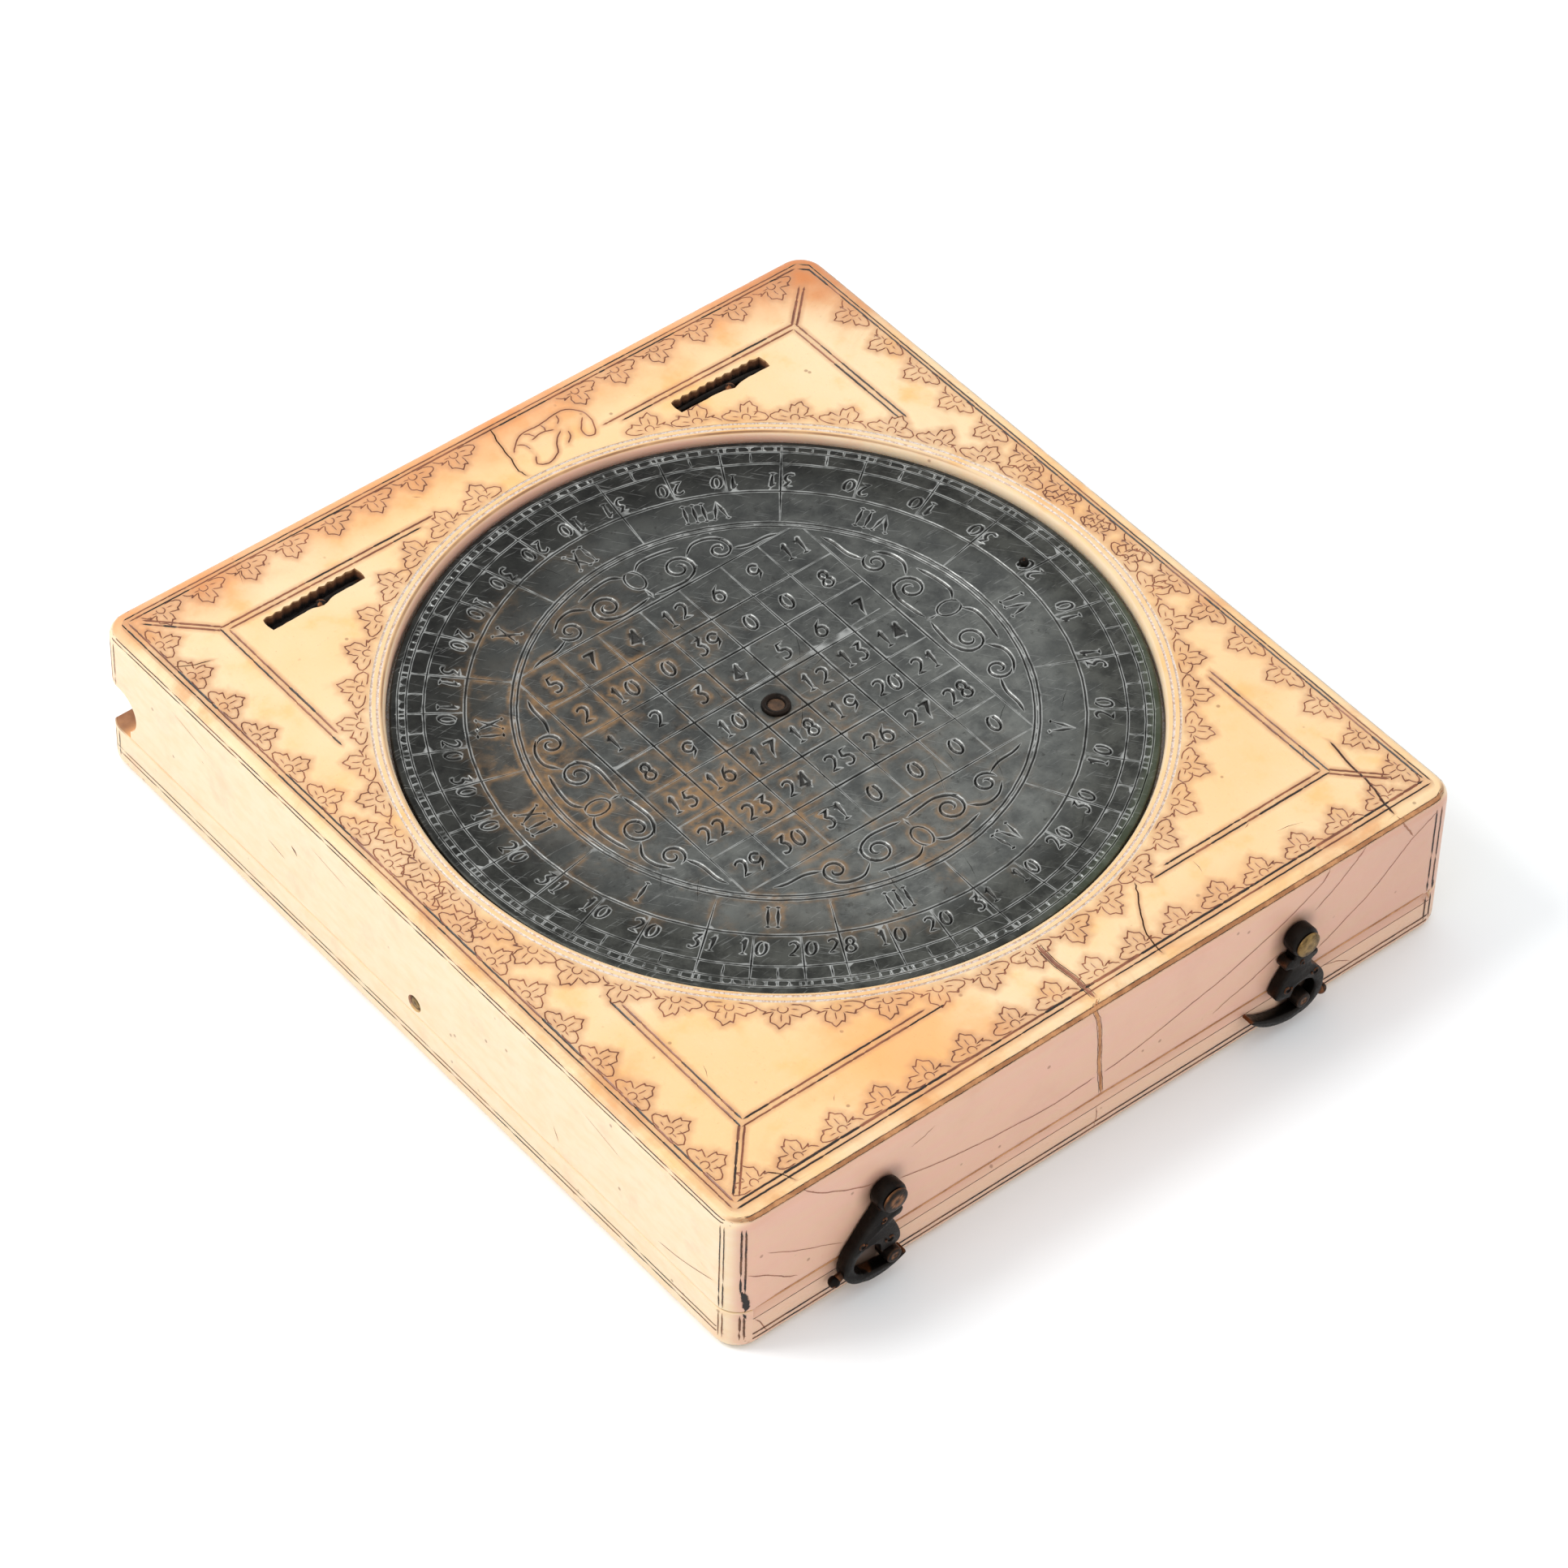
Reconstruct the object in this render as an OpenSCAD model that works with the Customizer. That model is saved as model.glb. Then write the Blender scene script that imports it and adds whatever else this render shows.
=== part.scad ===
// Pocket diptych sundial: two hinged ivory leaves that fold shut and are held by two
// hooks. It lies closed on its upper leaf, with the calendar disc of the lower leaf up.
// X runs along the width, Y from the hooked front edge (-Y) to the hinged back edge (+Y),
// Z is up, and Z = 0 is the outer face of the upper leaf. All sizes are in millimetres.

/* [Leaves] */
// Width of both leaves, along X
leaf_w = 66; // [62:0.5:76]
// Length of both leaves, along Y
leaf_l = 73; // [70:0.5:82]
// Thickness of the upper leaf
upper_t = 3.9; // [3.7:0.1:5]
// Thickness of the lower leaf
lower_t = 9.3; // [9.1:0.1:11]
// Gap between the faces of the closed leaves
leaf_gap = 0.1; // [0.05:0.05:0.3]
// Radius of the upright corners
corner_r = 2.1; // [1.5:0.1:3.5]
// Radius of the outer edges of both leaves
arris_r = 0.9; // [0.5:0.1:1.2]
// Height of the stopped bevel along the front of the upper leaf
bevel_h = 0.8; // [0.4:0.1:1]
// Depth of that bevel into the leaf
bevel_in = 0.55; // [0.3:0.05:0.8]
// Distance from the bevel's stops to the sides
bevel_stop = 1.8; // [1:0.1:6]

/* [Hinges] */
// Place of the left hinge along X
hinge_left_x = -19.3; // [-24:0.1:-16]
// Place of the right hinge along X
hinge_right_x = 18.2; // [16:0.1:24]
// Height of the hinge axis above the lower leaf's inner face
hinge_up = 1.35; // [1.3:0.05:1.6]
// Distance from the hinge axis to the back face
hinge_in = 1.1; // [1:0.05:1.4]
// Radius of the cove along the lower leaf's back edge
cove_r = 1.95; // [1.8:0.05:2.2]
// Distance from the cove's centre to the back face
cove_in = 2.35; // [2.2:0.05:2.6]
// Height of the cove's centre above the lower leaf's inner face
cove_up = 2.35; // [2.2:0.05:2.6]
// Distance from the cove's lower lip to the back face
cove_lip_in = 3.45; // [3.1:0.05:3.7]
// Radius of the upper leaf's rounded back edge
nose_r = 4; // [3.5:0.1:6]
// Distance from that rounded edge to the lower leaf's back face
nose_in = 0.4; // [0.3:0.05:0.6]
// Diameter of the hinge wire
wire_d = 0.5; // [0.4:0.02:0.54]
// Mean radius of a hinge eye
eye_r = 0.8; // [0.78:0.02:0.86]
// Diameter of the two legs of a hinge wire together
leg_d = 0.9; // [0.7:0.05:1]
// Length of the slots that hold the bent ends
slot_l = 8.4; // [6:0.1:10]
// Width of those slots
slot_w = 1.3; // [1:0.05:1.6]
// Depth of those slots
slot_d = 1.2; // [1.1:0.05:1.5]
// Distance from the lower leaf's slots to the back face
slot_in = 8.2; // [7.8:0.1:8.6]
// Angle between the upper leaf's hinge legs and the upright
upper_leg_lean = 20; // [16:1:24]

/* [Calendar] */
// Place of the calendar's axis along X
dial_x = 0.5; // [-1:0.1:1]
// Place of the calendar's axis along Y
dial_y = 0.2; // [-2:0.1:0.5]
// Radius of the calendar disc
disc_r = 27.6; // [24:0.1:28]
// Thickness of the calendar disc
disc_t = 1; // [0.6:0.1:1.2]
// Depth of the disc's face below the leaf's face
disc_sink = 0.6; // [0.3:0.1:0.8]
// Gap round the disc
disc_gap = 0.25; // [0.15:0.05:0.5]
// Radius of the arbor's head
arbor_head_r = 1.1; // [1:0.05:1.6]
// Height of the arbor's head above the disc
arbor_head_h = 0.35; // [0.2:0.05:0.55]
// Radius of the arbor
arbor_r = 0.8; // [0.6:0.05:0.9]
// Distance from the axis to the turning peg
turn_peg_at = 23.3; // [12:0.1:23.5]
// Radius of the turning peg
turn_peg_r = 0.38; // [0.3:0.02:0.6]
// Height of the turning peg above the disc
turn_peg_h = 0.55; // [0.3:0.05:0.55]

/* [Compass] */
// Radius of the compass well
well_r = 15.8; // [15.7:0.1:17]
// Depth of the compass well
well_d = 5.6; // [5.4:0.05:5.8]
// Width of the ledge that carries the glass
ledge_w = 1.2; // [0.8:0.1:2]
// Thickness of the compass glass
glass_t = 0.9; // [0.6:0.05:1]
// Depth of the ledge below the inner face
ledge_d = 1.4; // [1.35:0.05:1.5]
// Width of the split ring that holds the glass
ring_w = 0.9; // [0.6:0.05:1.4]
// Thickness of the compass card
card_t = 0.25; // [0.15:0.05:0.4]
// Half length of the compass needle
needle_l = 11.5; // [8:0.1:12.5]
// Half width of the compass needle at its middle
needle_w = 1.5; // [1.2:0.1:2.2]
// Thickness of the compass needle
needle_t = 0.3; // [0.2:0.05:0.4]
// Radius of the needle's cap
cap_r = 1.1; // [0.9:0.05:1.15]
// Height of the needle's cap
cap_h = 1.15; // [1:0.05:1.25]
// Radius of the needle's pivot
pivot_r = 0.3; // [0.24:0.02:0.36]

/* [Hour plate] */
// Travel of the hour plate each way from the middle, and throw of the crank
throw = 3.6; // [2.5:0.1:3.6]
// Half length of the hour ellipse, along X
hour_a = 13.2; // [12:0.1:13.4]
// Half width of the hour ellipse, along Y
hour_b = 10.2; // [9:0.1:11]
// Width of the hour ellipse's band
band_w = 3; // [2:0.1:3.4]
// Thickness of the hour plate
hour_t = 0.8; // [0.5:0.05:0.9]
// Width of the hour plate's arms
arm_w = 4.2; // [3.8:0.1:5]
// Half width of the tabs that slide in the guides
tab_w = 1.8; // [1.4:0.1:1.8]
// Radius of the crank pin
crank_pin_r = 0.6; // [0.5:0.05:0.7]
// Thickness of the crank plate
crank_t = 0.75; // [0.5:0.05:0.8]
// Length of the crank pin below the plate
crank_pin_out = 0.35; // [0.25:0.05:0.4]

/* [Lunar dial] */
// Place of the lunar disc's axis along Y
lunar_y = -3; // [-5:0.1:-2.5]
// Radius of the lunar disc
lunar_r = 19; // [15:0.1:24]
// Thickness of the lunar disc
lunar_t = 0.9; // [0.6:0.05:1.1]
// Depth of the lunar disc's face below the inner face
lunar_sink = 0.25; // [0.25:0.05:0.4]
// Outer radius of the eyelet on which it turns
eyelet_r = 1.15; // [1.05:0.05:1.4]
// Radius of the eyelet's flanges
flange_r = 1.9; // [1.7:0.05:2.6]

/* [Pin gnomon] */
// Radius of the pin gnomon
pin_r = 0.62; // [0.5:0.02:0.66]
// Length of the pin gnomon
pin_l = 13.6; // [8:0.1:14]
// Place of its hole along Y
pin_y = -1.1; // [-8:0.1:8]
// Height of its hole above the lower leaf's inner face
pin_up = 1.1; // [1.05:0.05:3]

/* [Hooks] */
// Place of the left hook's rivet along X
hook_left_x = -20.2; // [-24:0.1:-12]
// Place of the right hook's rivet along X
hook_right_x = 17.5; // [12:0.1:24]
// Height of the rivets above the lower leaf's inner face
rivet_up = 4.8; // [4.4:0.1:5.6]
// Distance from the catch pegs down from the upper leaf's inner face
catch_down = 1.3; // [1.1:0.05:1.6]
// Radius of the catch pegs
catch_r = 0.65; // [0.5:0.05:0.75]
// Thickness of a hook
hook_t = 1; // [0.7:0.05:1.2]
// Thickness of a hook at its boss
boss_t = 1.6; // [1.4:0.05:2]
// Radius of a hook's boss
boss_r = 1.55; // [1.35:0.05:1.8]
// Radius of the rivets' heads
rivet_head_r = 1.05; // [0.9:0.05:1.2]
// Width of metal outside a hook's eye
jaw_w = 0.6; // [0.4:0.05:0.8]
// Angle at which the left hook stands open
left_swing = 15; // [0:1:18]
// Angle over which the left hook's lower jaw reaches
left_jaw = 28; // [20:1:40]
// Angle over which the right hook's lower jaw reaches
right_jaw = 38; // [20:1:42]

/* [Hidden] */

$fn = 96;
ivory = [0.95, 0.85, 0.68];
pewter = [0.36, 0.38, 0.40];
bronze = [0.32, 0.23, 0.15];
brass = [0.78, 0.62, 0.34];
steel = [0.25, 0.28, 0.38];
// cutting tools reach this far past the faces that they open
over = 1;
// clearance between a pin and its hole, and between parts that slide
run = 0.05;
// clearance between a part and the seat that holds it
seat = 0.02;

half_w = leaf_w / 2;
half_l = leaf_l / 2;
inner_z = upper_t + leaf_gap;
top_z = inner_z + lower_t;

hinge_y = half_l - hinge_in;
hinge_z = inner_z + hinge_up;
cove_y = half_l - cove_in;
cove_z = inner_z + cove_up;
slot_y = half_l - slot_in;
slot_z = top_z - slot_d;
arm_r = 0.3;
knob_r = 0.55;
// the lower wires' legs aim at the middle of their slots
lower_leg_rise = slot_z + arm_r - hinge_z;
lower_leg_run = slot_y - hinge_y;
lower_leg_angle = atan2(lower_leg_rise, lower_leg_run);
lower_leg_l = norm([lower_leg_rise, lower_leg_run]);
upper_leg_angle = 270 - upper_leg_lean;
upper_slot_z = slot_d - arm_r;
upper_leg_l = (hinge_z - upper_slot_z) / cos(upper_leg_lean);
upper_slot_y = hinge_y - upper_leg_l * sin(upper_leg_lean);

disc_top = top_z - disc_sink;
disc_floor = disc_top - disc_t - run;

well_z = inner_z + well_d;
ledge_r = well_r + ledge_w;
ledge_z = inner_z + ledge_d;
card_z = well_z - card_t;
crank_top = well_z - run;
crank_z = crank_top - crank_t;
crank_r = throw + crank_pin_r + 0.4;
crank_pin_end = crank_z - crank_pin_out;
// the crank pin stops this far short of the yoke that it drives
yoke_gap = 0.3;
hour_top = crank_pin_end - yoke_gap;
hour_z = hour_top - hour_t;
tab_x = 14.6;
guide_x = tab_x + 0.15;
guide_w = 0.6;
guide_l = 2 * sqrt(pow(well_r - 0.1, 2) - pow(guide_x + guide_w, 2));
lip_t = 0.5;
cap_z = ledge_z + 0.35;
pivot_tip = cap_z + 0.4;
needle_z = cap_z + (cap_h - needle_t) / 2;

lunar_floor = upper_t - lunar_sink - lunar_t - run;
flange_t = 0.45;
socket_r = pin_r + run;

rivet_z = inner_z + rivet_up;
catch_z = upper_t - catch_down;
hook_gap = 0.1;
// distance from a hook's rivet down to its catch peg
reach = rivet_z - catch_z;
catch_gap = 0.15;
track_out = reach + catch_r + catch_gap;
track_in = reach - catch_r - catch_gap;
eye_hole_r = 1.45;
eye_down = track_out - eye_hole_r + 0.08;
rivet_r = 0.7;
rivet_in = 4.5;
catch_in = 5;
// the catch pegs stand this far to the right of straight below their rivets
catch_dx = reach * sin(3);

// a flat tablet with round corners, and outer edges rounded at the bottom or the top
module tablet(h, r_bottom, r_top) {
    module edge() {
        union() {
            translate([0, r_bottom]) square([corner_r, h - r_bottom - r_top]);
            if (r_bottom > 0) rounded_foot(r_bottom);
            if (r_top > 0) translate([0, h]) mirror([0, 1]) rounded_foot(r_top);
        }
    }
    module rounded_foot(r) {
        square([corner_r - r, r]);
        intersection() {
            translate([corner_r - r, r]) circle(r);
            translate([corner_r - r, 0]) square(r);
        }
    }
    x = half_w - corner_r;
    y = half_l - corner_r;
    translate([-x, -y, 0]) cube([2 * x, 2 * y, h]);
    for (k = [0 : 3]) {
        sx = (k == 0 || k == 3) ? 1 : -1;
        sy = (k < 2) ? 1 : -1;
        translate([sx * x, sy * y, 0]) rotate(90 * k) rotate_extrude(angle = 90) edge();
    }
    for (side = [0, 1]) mirror([side, 0, 0]) translate([x, y, 0])
        rotate([90, 0, 0]) linear_extrude(2 * y) edge();
    for (side = [0, 1]) mirror([0, side, 0]) translate([-x, y, 0])
        rotate([90, 0, 90]) linear_extrude(2 * x) edge();
}

// a round bar or bore along Y, from y0 towards the front
module bar_to_front(r, y0, length) {
    translate([0, y0, 0]) rotate([90, 0, 0]) cylinder(r = r, h = length);
}

// what the hinge legs need inside a leaf: a bore from the hinge axis, and the slot
module leg_bore(angle, length) {
    rotate([angle - 90, 0, 0]) cylinder(r = leg_d / 2 + run, h = length);
}

module hinge_slot(x, y, z0, z1) {
    translate([x - slot_l / 2, y - slot_w / 2, z0]) cube([slot_l, slot_w, z1 - z0]);
}

module upper_leaf() {
    color(ivory) difference() {
        tablet(upper_t, arris_r, 0);
        // round nose along the hinged edge
        difference() {
            translate([-half_w - over, half_l - 3, -over])
                cube([leaf_w + 2 * over, 3 + over, upper_t + 2 * over]);
            translate([-half_w - 2 * over, half_l - nose_in - nose_r, upper_t / 2])
                rotate([0, 90, 0]) cylinder(r = nose_r, h = leaf_w + 4 * over);
        }
        // stopped bevel for a fingernail
        translate([bevel_stop - half_w, -half_l, upper_t]) rotate([90, 0, 90])
            linear_extrude(leaf_w - 2 * bevel_stop)
                polygon([[-over, over], [-over, -bevel_h], [0, -bevel_h], [bevel_in, 0],
                         [bevel_in, over]]);
        // recess and hole of the lunar disc
        translate([0, lunar_y, lunar_floor]) cylinder(r = lunar_r + disc_gap, h = upper_t);
        translate([0, lunar_y, -over]) cylinder(r = eyelet_r + seat, h = upper_t);
        translate([0, lunar_y, -over]) cylinder(r = flange_r + run, h = over + flange_t + run);
        for (x = [hinge_left_x, hinge_right_x]) {
            translate([x, hinge_y, hinge_z]) leg_bore(upper_leg_angle, upper_leg_l);
            hinge_slot(x, upper_slot_y, -over, slot_d);
        }
        for (x = [catch_left_x, catch_right_x]) translate([x, 0, catch_z])
            bar_to_front(catch_r + seat, -half_l + catch_in + seat, catch_in + over);
    }
}

module lower_leaf() {
    color(ivory) difference() {
        translate([0, 0, inner_z]) tablet(lower_t, 0, arris_r);
        // cove along the hinged edge, open to the back and below, in which the eyes turn
        translate([-half_w - over, cove_y, cove_z]) rotate([0, 90, 0])
            cylinder(r = cove_r, h = leaf_w + 2 * over);
        translate([-half_w - over, cove_y, inner_z - over])
            cube([leaf_w + 2 * over, cove_in + over, over + cove_up + cove_r - seat]);
        translate([-half_w - over, half_l - cove_lip_in, inner_z - over])
            cube([leaf_w + 2 * over, cove_lip_in, over + cove_up]);
        for (x = [hinge_left_x, hinge_right_x]) {
            translate([x, hinge_y, hinge_z]) leg_bore(lower_leg_angle, lower_leg_l);
            hinge_slot(x, slot_y, slot_z, top_z + over);
        }
        // calendar disc's recess and arbor hole
        translate([dial_x, dial_y, disc_floor])
            cylinder(r = disc_r + disc_gap, h = disc_t + disc_sink + over);
        translate([dial_x, dial_y, inner_z]) cylinder(r = arbor_r + run, h = lower_t);
        // compass well and the ledge of its glass
        translate([dial_x, dial_y, inner_z - over]) cylinder(r = well_r, h = well_d + over);
        translate([dial_x, dial_y, inner_z - over]) cylinder(r = ledge_r, h = ledge_d + over);
        // hole that stores the pin gnomon
        translate([-half_w - over, pin_y, inner_z + pin_up]) rotate([0, 90, 0])
            cylinder(r = pin_r + run, h = over + pin_l + 0.3);
        for (x = [hook_left_x, hook_right_x]) translate([x, 0, rivet_z])
            bar_to_front(rivet_r + seat, -half_l + rivet_in + seat, rivet_in + over);
    }
}

// wire bent to an eye and two legs, with its bent ends lying in a slot
module hinge_wire(x, angle, length, eye_at, eye_turn, slot_at, knob_up) {
    color(bronze) union() {
        translate([x, hinge_y, hinge_z]) rotate([angle - 90, 0, 0]) {
            translate([0, 0, eye_at]) rotate([90, 0, eye_turn])
                rotate_extrude() translate([eye_r, 0]) circle(wire_d / 2, $fn = 48);
            translate([0, 0, eye_at + eye_r]) cylinder(r = leg_d / 2, h = length - eye_at - eye_r);
        }
        translate([x - slot_l / 2 + 0.3, slot_at[0], slot_at[1]]) rotate([0, 90, 0])
            cylinder(r = arm_r, h = slot_l - 0.6);
        translate([x, slot_at[0], slot_at[1] + knob_up]) sphere(r = knob_r);
    }
}

module lower_wire(x) {
    hinge_wire(x, lower_leg_angle, lower_leg_l, eye_r, 0, [slot_y, slot_z + arm_r],
               knob_r - arm_r);
}

module upper_wire(x) {
    hinge_wire(x, upper_leg_angle, upper_leg_l, 0, 90, [upper_slot_y, upper_slot_z],
               arm_r - knob_r);
}

module hinge_wire_left_upper() { upper_wire(hinge_left_x); }
module hinge_wire_right_upper() { upper_wire(hinge_right_x); }
module hinge_wire_left_lower() { lower_wire(hinge_left_x); }
module hinge_wire_right_lower() { lower_wire(hinge_right_x); }

module lunar_disc() {
    color(pewter) difference() {
        translate([0, lunar_y, lunar_floor + run]) cylinder(r = lunar_r, h = lunar_t);
        translate([0, lunar_y, 0]) cylinder(r = eyelet_r + run, h = upper_t + over);
    }
}

// hollow rivet: the lunar disc turns on it, and its outer end takes the pin gnomon
module lunar_eyelet() {
    disc_face = upper_t - lunar_sink;
    color(brass) translate([0, lunar_y, 0]) difference() {
        union() {
            translate([0, 0, run]) cylinder(r = flange_r, h = flange_t);
            translate([0, 0, run]) cylinder(r = eyelet_r, h = disc_face + run);
            translate([0, 0, disc_face + run])
                cylinder(r = flange_r, h = lunar_sink - run);
        }
        translate([0, 0, -over]) cylinder(r = socket_r, h = over + upper_t - 1);
    }
}

module calendar_disc() {
    color(pewter) translate([dial_x, dial_y, 0]) difference() {
        translate([0, 0, disc_top - disc_t]) cylinder(r = disc_r, h = disc_t);
        translate([0, 0, disc_floor - over]) cylinder(r = arbor_r + seat, h = disc_t + 2 * over);
        translate([turn_peg_at, 0, disc_floor - over])
            cylinder(r = turn_peg_r + seat, h = disc_t + 2 * over);
    }
}

module turning_peg() {
    color(bronze) translate([dial_x + turn_peg_at, dial_y, disc_top - disc_t]) {
        cylinder(r = turn_peg_r, h = disc_t + turn_peg_h - 0.15);
        translate([0, 0, disc_t + turn_peg_h - 0.15])
            cylinder(r1 = turn_peg_r, r2 = turn_peg_r - 0.12, h = 0.15);
    }
}

// rivet that ties the calendar disc to the crank plate through the lower leaf
module calendar_arbor() {
    peened_t = 0.2;
    color(bronze) translate([dial_x, dial_y, 0]) difference() {
        union() {
            translate([0, 0, disc_top]) cylinder(r = arbor_head_r, h = arbor_head_h);
            translate([0, 0, crank_z]) cylinder(r = arbor_r, h = disc_top - crank_z);
            translate([0, 0, crank_z - peened_t]) cylinder(r = arbor_r + 0.3, h = peened_t);
        }
        // dished head
        translate([0, 0, disc_top + arbor_head_h + 1.5]) sphere(r = 1.7);
        // socket of the needle's pivot
        translate([0, 0, crank_z - over]) cylinder(r = pivot_r + seat, h = over + 1.5);
    }
}

module crank_plate() {
    color(brass) translate([dial_x, dial_y, 0]) difference() {
        translate([0, 0, crank_z]) cylinder(r = crank_r, h = crank_t);
        translate([0, 0, crank_z - over]) cylinder(r = arbor_r + seat, h = crank_t + 2 * over);
        translate([throw, 0, crank_z - over])
            cylinder(r = crank_pin_r + seat, h = crank_t + 2 * over);
    }
}

module crank_pin() {
    color(brass) translate([dial_x + throw, dial_y, crank_pin_end])
        cylinder(r = crank_pin_r, h = crank_top - crank_pin_end);
}

module needle_pivot() {
    point_h = 0.5;
    color(steel) translate([dial_x, dial_y, pivot_tip]) {
        cylinder(r1 = 0.05, r2 = pivot_r, h = point_h);
        translate([0, 0, point_h])
            cylinder(r = pivot_r, h = crank_z + 1.4 - pivot_tip - point_h);
    }
}

function ellipse_points(a, b) = [for (k = [0 : 71]) [a * cos(5 * k), b * sin(5 * k)]];

// elliptical hour ring with its cross arms, yoke slots and sliding tabs
module hour_plate() {
    color(pewter) translate([dial_x, dial_y, hour_z]) difference() {
        linear_extrude(hour_t) union() {
            difference() {
                polygon(ellipse_points(hour_a, hour_b));
                polygon(ellipse_points(hour_a - band_w, hour_b - band_w));
            }
            square([2 * (hour_a - band_w / 2), arm_w], center = true);
            square([arm_w, 2 * (hour_b - band_w / 2)], center = true);
            square([2 * tab_x, 2 * tab_w], center = true);
        }
        slot_for(crank_pin_r, [1, 0]);
        slot_for(pivot_r, [0, 1]);
    }
    // slot for a pin of radius r that travels the throw each way
    module slot_for(r, dir) {
        half = throw + r + 0.2;
        wide = r + 0.12;
        size = [for (k = [0, 1]) 2 * (dir[k] == 1 ? half : wide)];
        translate([-size[0] / 2, -size[1] / 2, -over]) cube([size[0], size[1], hour_t + 2 * over]);
    }
}

// channel in which one tab of the hour plate slides
module hour_guide(side) {
    color(brass) translate([dial_x, dial_y, 0]) mirror([side < 0 ? 1 : 0, 0, 0]) {
        translate([guide_x, -guide_l / 2, hour_z - run - lip_t])
            cube([guide_w, guide_l, card_z - hour_z + run + lip_t]);
        translate([guide_x - 1, -guide_l / 2, hour_z - run - lip_t])
            cube([1.2, guide_l, lip_t]);
        translate([guide_x - 1, -guide_l / 2, hour_top + run])
            cube([1.2, guide_l, card_z - hour_top - run]);
    }
}

module hour_guide_east() { hour_guide(1); }
module hour_guide_west() { hour_guide(-1); }

module compass_card() {
    color("antiquewhite") translate([dial_x, dial_y, card_z]) difference() {
        cylinder(r = well_r - seat, h = card_t);
        translate([0, 0, -over]) cylinder(r = crank_r + 0.3, h = card_t + 2 * over);
    }
}

module compass_needle() {
    color(steel) translate([dial_x, dial_y, needle_z]) difference() {
        linear_extrude(needle_t)
            polygon([[0, needle_l], [needle_w, 0], [0, -needle_l], [-needle_w, 0]]);
        translate([0, 0, -over]) cylinder(r = cap_r - 0.3 + seat, h = needle_t + 2 * over);
    }
}

// brass cap set in the needle, which turns on the pivot's point
module needle_cap() {
    color(brass) translate([dial_x, dial_y, 0]) difference() {
        union() {
            translate([0, 0, cap_z]) cylinder(r = cap_r - 0.3, h = cap_h);
            translate([0, 0, needle_z - 0.2]) cylinder(r = cap_r, h = 0.2);
        }
        translate([0, 0, pivot_tip - 0.1])
            cylinder(r = pivot_r + run, h = cap_h + over);
    }
}

module compass_glass() {
    color([0.8, 0.9, 0.9, 0.4]) translate([dial_x, dial_y, ledge_z - glass_t])
        cylinder(r = ledge_r - run, h = glass_t);
}

// sprung ring, open at one place, that holds the glass on its ledge
module glass_ring() {
    color(brass) translate([dial_x, dial_y, inner_z + run]) rotate(8)
        rotate_extrude(angle = 344) translate([ledge_r - seat - ring_w, 0])
            square([ring_w, ledge_d - glass_t - run]);
}

module pin_gnomon() {
    taper_l = 2;
    color(brass) translate([run - half_w, pin_y, inner_z + pin_up]) rotate([0, 90, 0]) {
        cylinder(r = pin_r, h = pin_l - taper_l);
        translate([0, 0, pin_l - taper_l]) cylinder(r1 = pin_r, r2 = 0.12, h = taper_l);
    }
}

catch_left_x = hook_left_x + catch_dx;
catch_right_x = hook_right_x + catch_dx;

module catch_peg(x) {
    color(bronze) translate([x, 0, catch_z])
        bar_to_front(catch_r, catch_in - half_l, catch_in + hook_gap + hook_t + 0.3);
}

module catch_peg_left() { catch_peg(catch_left_x); }
module catch_peg_right() { catch_peg(catch_right_x); }

function polar(r, a) = [-r * sin(a), -r * cos(a)];

// outline of a hook that opens to the left, its rivet at the origin and its eye below
module hook_outline(jaw_angle) {
    eye = [catch_dx, -eye_down];
    body_r = eye_hole_r + jaw_w + 0.1;
    steps = 12;
    difference() {
        union() {
            circle(boss_r - 0.1);
            polygon([[-0.7, -1], [-0.85, -2.3], [-1.9, -eye_down + 1.9],
                     [-2.3, -eye_down + 1.2], [-1.9, -eye_down + 0.3], [eye[0], eye[1]],
                     [body_r + eye[0] - 0.15, -eye_down + 0.6], [1.7, -eye_down + 1.7],
                     [0.9, -2.5], [0.7, -1]]);
            translate([-1.15, -1.75]) circle(0.4);
            translate([1.15, -1.95]) circle(0.42);
            translate(eye) circle(body_r);
            // lower jaw, drawn out to a thin end
            polygon(concat([for (k = [0 : steps]) polar(track_out - 0.2, jaw_angle * k / steps)],
                           [for (k = [steps : -1 : 0])
                               polar(track_out + jaw_w * (1 - 0.8 * pow(k / steps, 2)),
                                     jaw_angle * k / steps)]));
        }
        translate(eye) circle(eye_hole_r);
        // the track along which the catch peg leaves the eye
        polygon(concat([for (k = [0 : steps]) polar(track_in, 5 * k - 3)],
                       [for (k = [steps : -1 : 0]) polar(track_out, 5 * k - 3)]));
    }
}

module hook(jaw_angle) {
    knob = [2.7, -track_out - 0.1];
    stem = [knob[0] - catch_dx, knob[1] + eye_down];
    stem_l = norm(stem);
    front = hook_gap + hook_t / 2;
    color(bronze) difference() {
        union() {
            translate([0, -hook_gap, 0]) rotate([90, 0, 0])
                linear_extrude(hook_t) hook_outline(jaw_angle);
            bar_to_front(boss_r, -hook_gap, boss_t);
            // finger knob on a short stem
            translate([knob[0], -front, knob[1]]) sphere(r = 0.45);
            translate([catch_dx, -front, -eye_down])
                rotate([0, 90 + atan2(-stem[1], stem[0]), 0])
                    translate([0, 0, eye_hole_r + 0.3])
                        cylinder(r = 0.3, h = stem_l - eye_hole_r - 0.3);
        }
        bar_to_front(rivet_r + run, over, boss_t + 2 * over);
    }
}

module hook_left() {
    translate([hook_left_x, -half_l, rivet_z]) rotate([0, left_swing, 0])
        mirror([1, 0, 0]) hook(left_jaw);
}

module hook_right() {
    translate([hook_right_x, -half_l, rivet_z]) hook(right_jaw);
}

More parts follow.
